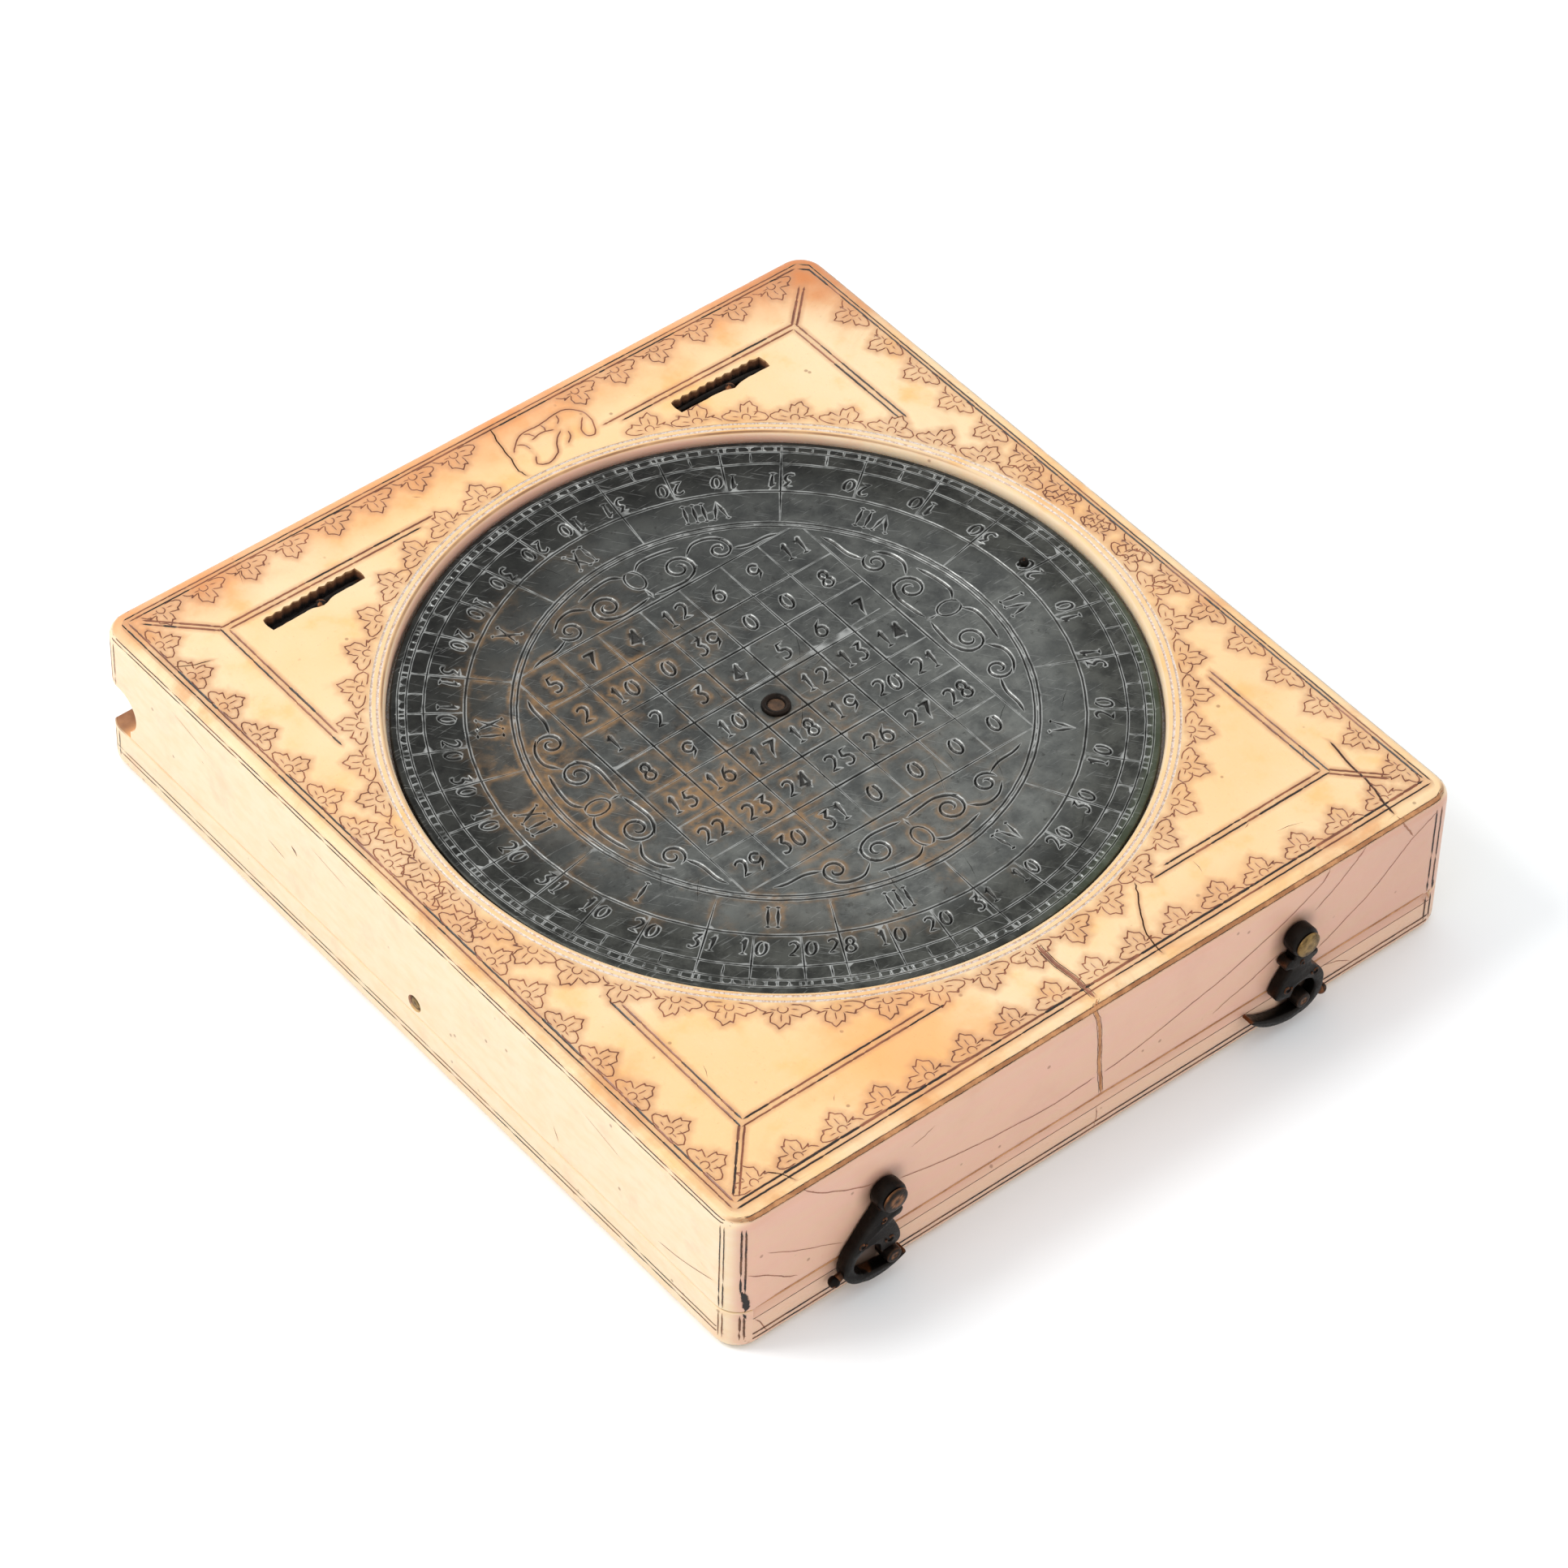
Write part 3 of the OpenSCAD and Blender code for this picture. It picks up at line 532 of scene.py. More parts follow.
def carve(shape, cutters):
    """A shape with each cutter taken away."""
    o = scratch_object(*shape)
    tools = [scratch_object(*c) for c in cutters]
    for tool in tools:
        m = o.modifiers.new("cut", "BOOLEAN")
        m.operation = "DIFFERENCE"
        m.solver = "EXACT"
        m.object = tool
    cut = o.evaluated_get(bpy.context.evaluated_depsgraph_get())
    me = cut.to_mesh()
    v = [tuple(p.co) for p in me.vertices]
    f = [tuple(p.vertices) for p in me.polygons]
    cut.to_mesh_clear()
    for used in tools + [o]:
        me = used.data
        bpy.data.objects.remove(used)
        bpy.data.meshes.remove(me)
    return v, f


def rim_loops(z0, z1, low, high):
    """Loops of a leaf's side from z0 to z1, rounded by low and high, or by next to nothing."""
    loops = [(z0, max(low, 0.08) + 0.06)]
    quarter = [math.pi / 2 * i / 8 for i in range(9)]
    if low:
        loops += [(z0 + low * (1 - math.cos(a)), low * (1 - math.sin(a))) for a in quarter]
    else:
        loops += [(z0, 0.08), (z0 + 0.08, 0)]
    if high:
        loops += [(z1 - high + high * math.sin(a), high * (1 - math.cos(a))) for a in quarter]
    else:
        loops += [(z1 - 0.08, 0), (z1, 0.08)]
    loops.append((z1, max(high, 0.08) + 0.06))
    return [[(x, y, z) for x, y in outline(d)] for z, d in loops]


def open_ends(shape, heights):
    """Drops the wide flat faces at the given heights, which engraved faces take the place of."""
    v, f = shape
    wide = 6

    def is_cap(q):
        flat = any(all(abs(v[i][2] - z) < 1e-4 for i in q) for z in heights)
        return flat and all(max(v[i][k] for i in q) - min(v[i][k] for i in q) > wide for k in (0, 1))

    return v, [q for q in f if not is_cap(q)]


# Engraving
class Cut:
    """One stroke of the graver: points, half width, depth, tone, halo and the length of its thin ends."""

    def __init__(self, pts, w=0.08, d=0.06, tone=0.0, closed=False, halo=0.0, taper=None, nib=False):
        self.p = [(float(x), float(y)) for x, y in pts]
        self.d, self.tone, self.closed, self.halo = d, tone, closed, halo
        s = [0.0]
        for a, b in zip(self.p, self.p[1:]):
            s.append(s[-1] + math.dist(a, b))
        total = s[-1] or 1e-6
        end = min(w * 2.5 if taper is None else taper, total / 2) or 1e-6
        self.w = [w if closed else w * min(1.0, q / end, (total - q) / end) for q in s]
        if nib:
            last = len(s) - 1
            for i in range(len(s)):
                a, b = self.p[max(i - 1, 0)], self.p[min(i + 1, last)]
                self.w[i] *= 0.6 + 0.75 * abs(math.sin(math.atan2(b[1] - a[1], b[0] - a[0]) - nib))

    def across(self, i):
        """The neighbours of a point, and the unit direction to its left."""
        n = len(self.p)
        a = self.p[i - 1] if i or self.closed else self.p[0]
        b = self.p[(i + 1) % n] if i < n - 1 or self.closed else self.p[-1]
        k = math.dist(a, b) or 1.0
        return a, b, ((a[1] - b[1]) / k, (b[0] - a[0]) / k)

    def beside(self, i, off):
        nx, ny = self.across(i)[2]
        return (self.p[i][0] + nx * off, self.p[i][1] + ny * off)

    def around(self):
        """Loose points beside the stroke, so that it ends cleanly and its halo has a shape."""
        out = []
        for i, p in enumerate(self.p):
            w = self.w[i]
            a, b, _ = self.across(i)
            for side in (-1, 1):
                for off in (w + 0.1, w + self.halo) if self.halo else (w + 0.08,):
                    out.append(self.beside(i, side * off))
            turn = math.atan2(b[1] - p[1], b[0] - p[0]) - math.atan2(p[1] - a[1], p[0] - a[0])
            if w > 0.01 and abs((turn + math.pi) % (2 * math.pi) - math.pi) > 0.8:
                out += [polar(p, 1.1 * w, math.pi * j / 3) for j in range(6)]
        return out

    def chains(self):
        """The lines that the face is divided along, each with whether it is closed."""
        count = range(len(self.p))
        left = [self.beside(i, self.w[i]) for i in count]
        right = [self.beside(i, -self.w[i]) for i in count]
        if self.closed:
            return [(left, True), (right, True), (self.p, True)]
        rim = [self.p[0]] + left[1:-1] + [self.p[-1]] + right[-2:0:-1]
        return [(rim, True)] + ([(self.p, False)] if len(self.p) > 2 else [])

    def segments(self):
        n = len(self.p)
        for i in range(n if self.closed else n - 1):
            j = (i + 1) % n
            yield self.p[i], self.p[j], self.w[i], self.w[j], self


def stroke_squares(cuts):
    """The strokes' segments, listed by the squares that they reach into."""
    squares = {}
    for c in cuts:
        reach = max(c.w) + c.halo + 1e-4
        for seg in c.segments():
            a, b = seg[:2]
            gx, gy = (range(math.floor((min(a[k], b[k]) - reach) / CELL),
                            math.floor((max(a[k], b[k]) + reach) / CELL) + 1) for k in (0, 1))
            for square in ((i, j) for i in gx for j in gy):
                squares.setdefault(square, []).append(seg)
    return squares


def graver_at(p, segments, burr):
    """How deep a point lies, and its share of the stroke, the nearest tone and the halo."""
    ink = deep = tone = halo = 0.0
    near = 9.0
    for a, b, wa, wb, c in segments:
        dx, dy = b[0] - a[0], b[1] - a[1]
        t = ((p[0] - a[0]) * dx + (p[1] - a[1]) * dy) / (dx * dx + dy * dy or 1e-12)
        t = min(1.0, max(0.0, t))
        w = wa + (wb - wa) * t
        dist = math.dist(p, (a[0] + t * dx, a[1] + t * dy))
        if w > 1e-4:
            k = 1 - dist / w
            if k * c.d > deep:
                deep, ink = k * c.d, k
            if dist - w < near:
                near, tone = dist - w, c.tone
        if c.halo:
            halo = max(halo, min(1.0, 1 - (dist - w) / c.halo))
    lip = burr * max(0.0, 1 - abs(near - 0.01) / 0.07) if burr and near > -0.01 else 0.0
    return deep - lip, ink, tone, halo


def engraved(name, edge, holes, inside, cuts, z, up, mat, body, replaces=(), burr=0.0, pitch=0.8):
    """A flat face cut along the strokes. inside(x, y) says what belongs to the face."""
    points, edges = [], []
    chains = [(loop, True) for loop in [edge] + holes] + [chain for c in cuts for chain in c.chains()]
    for pts, closed in chains:
        k, n = len(points), len(pts)
        points.extend(Vector(p) for p in pts)
        edges.extend((k + i, k + (i + 1) % n) for i in range(n if closed else n - 1))
    loose = [p for c in cuts for p in c.around()]
    (x0, x1), (y0, y1) = ((min(v), max(v)) for v in zip(*edge))
    for i in range(int((x1 - x0) / pitch)):
        for j in range(int((y1 - y0) / pitch)):
            loose.append((x0 + (i + .5 + .3 * (j % 2)) * pitch, y0 + (j + .5) * pitch))
    points.extend(Vector(p) for p in loose if inside(*p))
    out, _, tris, *_ = delaunay_2d_cdt(points, edges, [], 0, 1e-5)
    faces = []
    for t in tris:
        if inside(sum(out[i][0] for i in t) / 3, sum(out[i][1] for i in t) / 3):
            faces.append(tuple(t) if up > 0 else tuple(reversed(t)))
    used = sorted({i for t in faces for i in t})
    new = {k: i for i, k in enumerate(used)}
    squares = stroke_squares(cuts)
    verts = []
    attrs = {"ink": [], "tone": [], "halo": []}
    for p in (out[i] for i in used):
        square = (math.floor(p[0] / CELL), math.floor(p[1] / CELL))
        deep, *values = graver_at(p, squares.get(square, ()), burr)
        verts.append((p[0], p[1], z - up * deep))
        for column, value in zip(attrs.values(), values):
            column.append(value)
    faces = [tuple(new[i] for i in t) for t in faces]
    return piece(name, (verts, faces), mat, body, None, attrs, replaces)


def arc(cx, cy, rx, ry, a0, a1, n):
    angles = (math.radians(a0 + (a1 - a0) * i / n) for i in range(n + 1))
    return [(cx + rx * math.cos(a), cy + ry * math.sin(a)) for a in angles]


def ring(r, n=240, c=DIAL):
    return [polar(c, r, 2 * math.pi * k / n) for k in range(n)]


def rings(radii, c, w=.07, d=.06, n=200, halo=.2):
    return [Cut(ring(r, n, c), w, d, closed=True, halo=halo) for r in radii]


def spiral(c, r0, r1, a0, a1, n=22):
    return [polar(c, r0 + (r1 - r0) * i / n, math.radians(a0 + (a1 - a0) * i / n)) for i in range(n + 1)]


def straight(a, b):
    return [a, between(a, b, .5), b]


def spoke(c, a, r0, r1, r2):
    return [polar(c, r, a) for r in (r0, r1, r2)]


def smooth_path(pts, n=6):
    """Catmull-Rom curve through the points."""
    q = [pts[0]] + list(pts) + [pts[-1]]
    out = []
    for i in range(1, len(q) - 2):
        for t in (k / n for k in range(n)):
            out.append(tuple(.5 * (2 * b + (c - a) * t + (2 * a - 5 * b + 4 * c - d) * t * t +
                                   (3 * b - a - 3 * c + d) * t ** 3) for a, b, c, d in zip(*q[i - 1:i + 3])))
    return out + [tuple(pts[-1])]


# Numerals of unit height
DIGITS = {
    "0": [arc(.3, .46, .25, .44, 80, 430, 14)],
    "1": [[(.1, .74), (.33, .96), (.33, .5), (.32, .04)], [(.14, .0), (.32, .05), (.52, .0)]],
    "2": [arc(.3, .7, .23, .24, 170, -30, 7) + [(.34, .3), (.06, .04)], [(.06, .05), (.3, .09), (.58, .0)]],
    "3": [[(.08, .94), (.5, .95), (.26, .6)] + arc(.27, .3, .25, .29, 80, -150, 8)],
    "4": [[(.44, -.04), (.44, .95), (.04, .3), (.62, .3)]],
    "5": [[(.56, .98), (.18, .93), (.13, .56)] + arc(.28, .28, .26, .28, 110, -150, 8)],
    "6": [[(.52, .98), (.22, .72)] + arc(.31, .28, .25, .28, 165, 500, 12)],
    "7": [[(.06, .84), (.12, .94), (.58, .93), (.3, .4), (.24, -.04)]],
    "8": [arc(.3, .71, .19, .23, -90, 270, 11), arc(.3, .24, .25, .25, 90, 450, 12)],
    "9": [arc(.3, .66, .24, .27, 0, 345, 12), [(.54, .66), (.48, .3), (.16, -.04)]],
}
ROMAN = {
    "I": ([[(.12, 0), (.12, 1)], [(0, 1), (.24, 1)], [(0, 0), (.24, 0)]], .24),
    "V": ([[(.06, 1), (.34, 0)], [(.34, 0), (.6, 1)], [(-.04, 1), (.16, 1)], [(.5, 1), (.7, 1)]], .68),
    "X": ([[(.06, 1), (.6, 0)], [(.06, 0), (.58, 1)], [(-.04, 1), (.16, 1)], [(.5, 1), (.68, 1)],
           [(-.02, 0), (.16, 0)], [(.5, 0), (.7, 0)]], .68),
}
HOURS = ("I", "II", "III", "IV", "V", "VI", "VII", "VIII", "IX", "X", "XI", "XII")


def place(strokes, at, size, turn, width, lean):
    """Strokes of unit height set at a point, turned, and centred on their width."""
    c, s = math.cos(turn), math.sin(turn)
    out = []
    for stroke in strokes:
        flat = [(((x + (y - .5) * lean) - width / 2) * size, (y - .5) * size) for x, y in stroke]
        out.append([(at[0] + x * c - y * s, at[1] + x * s + y * c) for x, y in flat])
    return out


def number(text, at, size, turn=0.0, lean=0.14, step=.72):
    strokes, x = [], 0.0
    for ch in text:
        j = rng.uniform(-.04, .04)
        strokes += [[(px + x, py + j) for px, py in s] for s in DIGITS[ch]]
        x += step
    return place(strokes, at, size, turn, x - step + .6, lean)


def roman(text, at, size, turn, w, d=.08, halo=.2, taper=.12, nib=False):
    strokes, x = [], 0.0
    for ch in text:
        marks, width = ROMAN[ch]
        strokes += [[(px + x, py) for px, py in s] for s in marks]
        x += width + .14
    return [Cut(straight(*s), w, d, halo=halo, taper=taper, nib=nib)
            for s in place(strokes, at, size, turn, x - .14, 0.0)]


# One vine leaf in millimetres: u runs along the border and v away from it
LEAF_MIDDLE = ((-.39, .98), (-.42, 1.35), (-.36, 1.85), (-.14, 1.71), (.05, 1.95), (.31, 2.18), (.5, 1.8),
               (.86, 1.57), (.82, 1.12), (.57, .66))
LEAF_LEFT = ((-.39, .98), (-.6, 1.03), (-1.14, 1.25), (-1.2, .94), (-1.45, .89), (-1.77, .66), (-1.77, .44),
             (-1.5, .25), (-1.14, .12), (-.5, .12))
LEAF_RIGHT = ((.57, .66), (.95, .75), (1.27, .85), (1.05, .66), (1.32, .57), (1.6, .3), (1.68, .12))
LEAF_OVAL = ((.5, 1.0), (.95, 1.05), (1.4, .85), (1.65, .5), (1.45, .15), (.9, .12), (.4, .15))
LEAF_BUTTON = arc(0, .48, .33, .33, -50, 230, 8)
LEAF_VEINS = (((.17, 1.6), (.12, .85)), ((-1.05, .57), (-.5, .48)), ((.32, .53), (.86, .48)))


def wobble(pts, amount=0.02, step=1.5):
    """A line with the slight unevenness of hand work."""
    out = []
    for a, b in zip(pts, pts[1:]):
        n = max(1, int(math.dist(a, b) / step))
        for k in range(n):
            x, y = between(a, b, k / n)
            out.append((x + rng.uniform(-amount, amount), y + rng.uniform(-amount, amount)))
    return out + [pts[-1]]


def put_leaf(at, ang, size=1.0, flip=1, oval=False):
    """A leaf whose v points at ang degrees, cut with short rocking strokes."""
    vx, vy = polar((0, 0), 1, math.radians(ang))
    stretch = flip * rng.uniform(.95, 1.05)
    lobes = (LEAF_MIDDLE, LEAF_LEFT, LEAF_OVAL if oval else LEAF_RIGHT)
    strokes = [(lobe, .055, .05) for lobe in lobes] + [(LEAF_BUTTON, .05, .045)]
    strokes += [(vein, .045, .035) for vein in LEAF_VEINS]
    cuts = []
    for stroke, w, d in strokes:
        pts = [(at[0] + (vy * u * stretch + vx * v) * size, at[1] + (vy * v - vx * u * stretch) * size)
               for u, v in stroke]
        cuts.append(Cut(wobble(pts, .022, .17), w, d, 1.0, halo=.55, taper=.1))
    return cuts


def dashed(pts, w, run, dark, **settings):
    """A long line cut as strokes that run into each other, a share of them with dark ink."""
    path = wobble(pts, .014, .35)
    out, k = [], 0
    while k < len(path) - 1:
        n = rng.randint(2, run)
        tone = 0.0 if rng.random() < dark else 0.85
        width = w * rng.uniform(.85, 1.2)
        out.append(Cut(path[max(k - 1, 0):k + n + 1], width, tone=tone, taper=.06, **settings))
        k += n
    return out


def rect_lines(insets, w, back):
    """Rectangles of four lines, inset from the leaf's outline and from a Y value at the back."""
    short = 0.35
    cuts = []
    for inset in insets:
        x, y, yb = HW - inset, HL - inset, back - inset
        for s in ([(-x + short, -y), (x - short, -y)], [(x, -y + short), (x, yb - short)],
                  [(x - short, yb), (-x + short, yb)], [(-x, yb - short), (-x, -y + short)]):
            cuts.append(Cut(wobble(s), w, .06, taper=.4, halo=.2))
    return cuts


def runs_where(p, q, keep, step=0.4):
    """The parts of a line where keep(x, y) is true."""
    n = max(2, int(math.dist(p, q) / step))
    runs, run = [], []
    for point in [between(p, q, i / n) for i in range(n + 1)] + [None]:
        if point and keep(*point):
            run.append(point)
        else:
            if len(run) > 2:
                runs.append((run[0], run[-1]))
            run = []
    return runs


# Lower leaf
def ragged_slot(x, y, seed, slant=0.0, knob=0.0):
    """Slot outline: its far edge toothed by the chisel, its near edge eased for the wire's knob."""
    r = random.Random(seed)
    a, b = SLOT_L / 2, SLOT_W / 2
    n = 21
    near, back = [], []
    for i in range(n + 1):
        u = -a + 2 * a * i / n
        ease = .3 * math.exp(-((u - knob) / .6) ** 2)
        tooth = (.13 if i % 2 else -.04) + r.uniform(-.03, .03)
        near.append((x + u, y + slant * u - b - ease + r.uniform(-.025, .025)))
        back.append((x + u, y + slant * u + b + (tooth if 0 < i < n else 0)))
    bulge = ((.08, -.5), (.1, 0), (.04, .6))
    ends = {s: [(x + s * (a + out), y + s * (slant * a + b * up)) for out, up in bulge] for s in (1, -1)}
    return near + ends[1] + back[::-1] + ends[-1]


def slot_walls(name, pts, z_face, z_floor, body):
    loops = [[(x, y, z) for x, y in pts] for z in (z_face, z_floor)]
    # walls and floor carry the slot's painted shade
    piece(name, loft(loops, (False, True)), SLOT_SHADE, body, None)


def lower_sides():
    circle = ring(COVE_R, 72, (COVE_Y, COVE_Z))
    roof = COVE_Z + COVE_R - 0.02
    cuts = [prism_x(circle, -HW - 2, HW + 2),
            prism_x([(COVE_Y, 2), (HL + 2, 2), (HL + 2, roof), (COVE_Y, roof)], -HW - 3, HW + 3),
            prism_x([(COVE_LIP, 1), (HL + 3, 1), (HL + 3, COVE_Z), (COVE_LIP, COVE_Z)], -HW - 4, HW + 4),
            sweep([(-HW - 1, PIN_Y, PIN_Z), (-HW + 3, PIN_Y, PIN_Z)], PIN_R + 0.09, 32)]
    shape = carve(loft(rim_loops(INNER_Z, TOP_Z, 0, ARRIS_R)), cuts)
    piece("lower_leaf_sides", open_ends(shape, (INNER_Z, TOP_Z)), IVORY, "lower_leaf", 35,
          replaces=("lower_leaf",))


def disc_recess():
    """Band round the disc with its two white grooves, and the recess's wall and floor."""
    t = TOP_Z
    prof = ((BAND_R, t, 0), (29.0, t, 0), (28.9, t - .07, 1), (28.8, t, 0), (28.53, t, 0),
            (28.42, t - .07, 1), (28.31, t - .01, 0), (28.26, t - .02, 0), (28.12, t - .08, 0),
            (27.99, t - .2, 0), (27.89, t - .38, 0), (RECESS_R, t - .6, 0), (RECESS_R, RECESS_FLOOR, .3),
            (24, RECESS_FLOOR, 0), (0.86, RECESS_FLOOR, 0), (0.86, WELL_Z, 0))
    n = 288
    attrs = {"ink": [ink for *_, ink in prof] * n, "tone": [2.0] * len(prof) * n,
             "halo": [0.2 if r > 28.15 else 0.0 for r, *_ in prof] * n}
    shape = inside_out(revolve([(r, z) for r, z, _ in prof], n, DIAL))
    piece("disc_recess", shape, IVORY_INK, "lower_leaf", 30, attrs)


def calendar_face():
    slots = [ragged_slot(HINGE_X[0], SLOT_YS[0], 3, .03, .2),
             ragged_slot(HINGE_X[1], SLOT_YS[1], 4, -.01, .6)]
    n = 288
    hole_r = BAND_R * math.cos(math.pi / n) - 1e-4

    def inside(x, y):
        return (in_outline(x, y, EDGE) and math.dist((x, y), DIAL) > hole_r
                and not any(in_poly(x, y, s) for s in slots))

    engraved("calendar_face", outline(EDGE), [ring(BAND_R, n)] + slots, inside, top_cuts(), TOP_Z, 1,
             IVORY_INK, "lower_leaf")
    for side, s in zip(("left", "right"), slots):
        slot_walls("slot_" + side, s, TOP_Z, TOP_Z - SLOT_D, "lower_leaf")


# Calendar face: border lines, panel and leaves, measured on the face
BORDERS = (
    ((((-31.6, -34.88), (0, -34.75), (31.8, -34.7)), ((31.92, -34.6), (31.92, 34.7), (31.3, 35.35)),
      ((31.3, 35.42), (-31.6, 35.42)), ((-31.75, 35.3), (-31.75, -34.7))), (.08, .065, .06, .07), 16),
    ((((-31.2, -34.4), (0, -34.3), (31.5, -34.2)), ((31.62, -34.1), (31.62, 34.3), (30.9, 35.0)),
      ((30.9, 35.07), (-31.2, 35.07)), ((-31.3, 35.0), (-31.3, -34.3))), (.11, .09, .08, .095), 14))
PANEL = ((-26.55, -29.25), (26.65, -29.25), (26.65, 30.05), (-26.2, 30.25))
PANEL_TIPS = ((-30.9, -34.0), (29.9, -32.5), (30.0, 33.2), (-30.5, 34.5))
PANEL_HALF_GAP = .24
LEAF_ROWS = (((-29.2, -34.3), (3.82, 0), 16, 90), ((31.62, -32.3), (0, 4.047), 16, 180),
             ((28.1, 35.07), (-3.787, 0), 16, 270), ((-31.3, 31.8), (0, -3.9), 17, 0))
SCROLL = (((1.43, 31.98), (2.14, 32.69), (3.1, 33.29), (4.76, 33.29), (6.43, 33.5), (7.38, 33.4),
           (8.2, 32.45), (8.2, 31.26), (7.6, 30.07), (7.0, 30.07), (6.9, 30.8), (7.4, 31.5), (7.86, 32.0)),
          ((5.7, 31.86), (4.76, 31.1), (4.05, 30.07), (2.86, 29.6), (2.14, 30.07), (2.6, 30.8)),
          ((3.3, 32.3), (4.4, 32.5), (5.4, 32.2)), ((5.3, 30.4), (5.9, 30.9), (6.1, 31.5)),
          ((2.1, 32.6), (2.6, 32.2), (2.7, 31.6)), ((3.2, 33.2), (3.6, 32.9), (3.8, 32.4)),
          ((4.8, 33.2), (4.9, 32.8), (4.7, 32.4)), ((6.4, 33.4), (6.3, 32.9), (5.9, 32.5)))
TOP_CRACK = ((-.3, -29.1), (-.5, -31.0), (-.33, -33.0), (-.4, -35.45))
TOP_HAIRS = (([(8.9, -28.9), (8.4, -29.8), (7.2, -31.6), (6.3, -33.2), (6.0, -35.2)], .06),
             ([(28.9, -27.2), (28.5, -29.6), (28.3, -32.2), (27.8, -34.2), (27.6, -35.4)], .1),
             ([(-26.9, -35.4), (-27.2, -34.5), (-27.9, -33.6)], .05),
             ([(1.7, 35.3), (1.2, 33.4), (.9, 31.6), (.6, 30.3), (.8, 29.4)], .06),
             ([(-31.4, 29.4), (-30.0, 28.6), (-28.7, 28.2)], .05))


def border_cuts():
    cuts = []
    for paths, widths, run in BORDERS:
        for path, w, dark in zip(paths, widths, (.7, .8, .4, .6)):
            cuts += dashed(path, w, run, dark, d=.07, halo=.45)
    return cuts


def panel_cuts():
    """Double lines with mitred corners, stopped by the leaves round the disc."""
    cuts = []
    for o in (-PANEL_HALF_GAP, PANEL_HALF_GAP):
        for k, dark in enumerate((.5, .5, .25, .2)):
            p, q = [(x + o * math.copysign(1, x), y + o * math.copysign(1, y))
                    for x, y in (PANEL[k], PANEL[(k + 1) % 4])]
            for ends in runs_where(p, q, lambda x, y: math.dist((x, y), DIAL) > 31.1):
                cuts += dashed(ends, .09, 12, dark, d=.065, halo=.35)
            corner, tip = PANEL[k], PANEL_TIPS[k]
            size = math.dist(corner, tip)
            sx, sy = (corner[1] - tip[1]) / size * o * .8, (tip[0] - corner[0]) / size * o * .8
            cuts += dashed([(x + sx, y + sy) for x, y in (corner, tip)], .1, 12, .25, d=.065, halo=.35)
    return cuts


def leaf_cuts():
    """Chains of vine leaves along the sides and round the disc, with room for the scroll at the back."""
    cuts = []
    for (x, y), (dx, dy), n, ang in LEAF_ROWS:
        for i in range(n):
            at = (x + dx * i, y + dy * i)
            if ang == 270 and 0.6 < at[0] < 8.8:
                continue
            room = math.dist(at, DIAL) - BAND_R - .1
            cuts += put_leaf(at, ang + rng.uniform(-3, 3), min(1.0, room / 2.2), oval=ang == 0)
    for k in range(51):
        a = 203.3 + 7.06 * k
        if 73 < a % 360 < 92:
            continue
        c, s = polar((0, 0), 1, math.radians(a))
        at = polar(DIAL, BAND_R + .05, math.radians(a))
        room = min((31.4 - abs(at[0])) / max(abs(c), 1e-6), (34.4 - abs(at[1])) / max(abs(s), 1e-6))
        cuts += put_leaf(at, a + rng.uniform(-3, 3), min(1.05, room / 2.2), oval=k % 3 == 0)
    return cuts


def top_cuts():
    cuts = border_cuts() + panel_cuts() + leaf_cuts()
    for stroke in SCROLL:
        cuts.append(Cut(wobble(smooth_path(stroke, 4), .02, .2), .065, .05, 1.0, halo=.35))
    # the wide filled crack in front, its edges dark, and finer ones
    main = wobble(TOP_CRACK, .04, .5)
    cuts.append(Cut(main, .17, .07, 1.0, halo=.3, taper=.3))
    for o in (-.21, .21):
        cuts.append(Cut([(x + o, y) for x, y in main], .035, .05, 0.2, taper=.3))
    for stroke, w in TOP_HAIRS:
        cuts.append(Cut(wobble(smooth_path(stroke, 4), .05, .5), w, .12, .4, halo=.3, taper=.4))
    # stray scratches, clear of the disc and the slots
    for _ in range(34):
        x, y = rng.uniform(-30, 30), rng.choice((-1, 1)) * rng.uniform(24, 33)
        a, length = rng.uniform(0, 6.3), rng.uniform(.5, 2.6)
        if math.hypot(x, y) > 33.5 and abs(y - SLOT_Y) > 3:
            p = (x, y)
            cuts.append(Cut([p, polar(p, length * .5, a), polar(p, length, a + .1)], .03, .02, 1.2))
    return cuts


# Calendar disc: days, the angles where the months start, and the grid's lines, measured on the disc
MONTH_DAYS = (31, 28, 31, 30, 31, 30, 31, 31, 30, 31, 30, 31)
MONTH_STARTS = (189.1, 218.4, 241.9, 268.9, 298.3, 333.8, 370.8, 409.9, 441.2, 468.4, 494.8, 521.5, 549.1)
GRID_X = (-12.61, -8.85, -5.12, -1.24, 2.39, 6.27, 9.75, 13.63)
GRID_Y = (-12.73, -8.63, -4.81, -1.08, 2.49, 6.22, 9.88, 13.76)
ROWS = (("29", "30", "31", "0", "0", "0", "0"), ("22", "23", "24", "25", "26", "27", "28"),
        ("15", "16", "17", "18", "19", "20", "21"), ("8", "9", "10", "", "12", "13", "14"),
        ("1", "2", "3", "4", "5", "6", "7"), ("2", "10", "0", "39", "0", "0", "8"),
        ("5", "7", "4", "12", "6", "9", "11"))


def disc_line(a, b, w=.075, d=.06, tone=0.0, halo=.45):
    return Cut(straight(a, b), w, d, tone, halo=halo, taper=.12)


def disc_spoke(r0, r1, a, *args, **settings):
    return disc_line(polar(DIAL, r0, a), polar(DIAL, r1, a), *args, **settings)


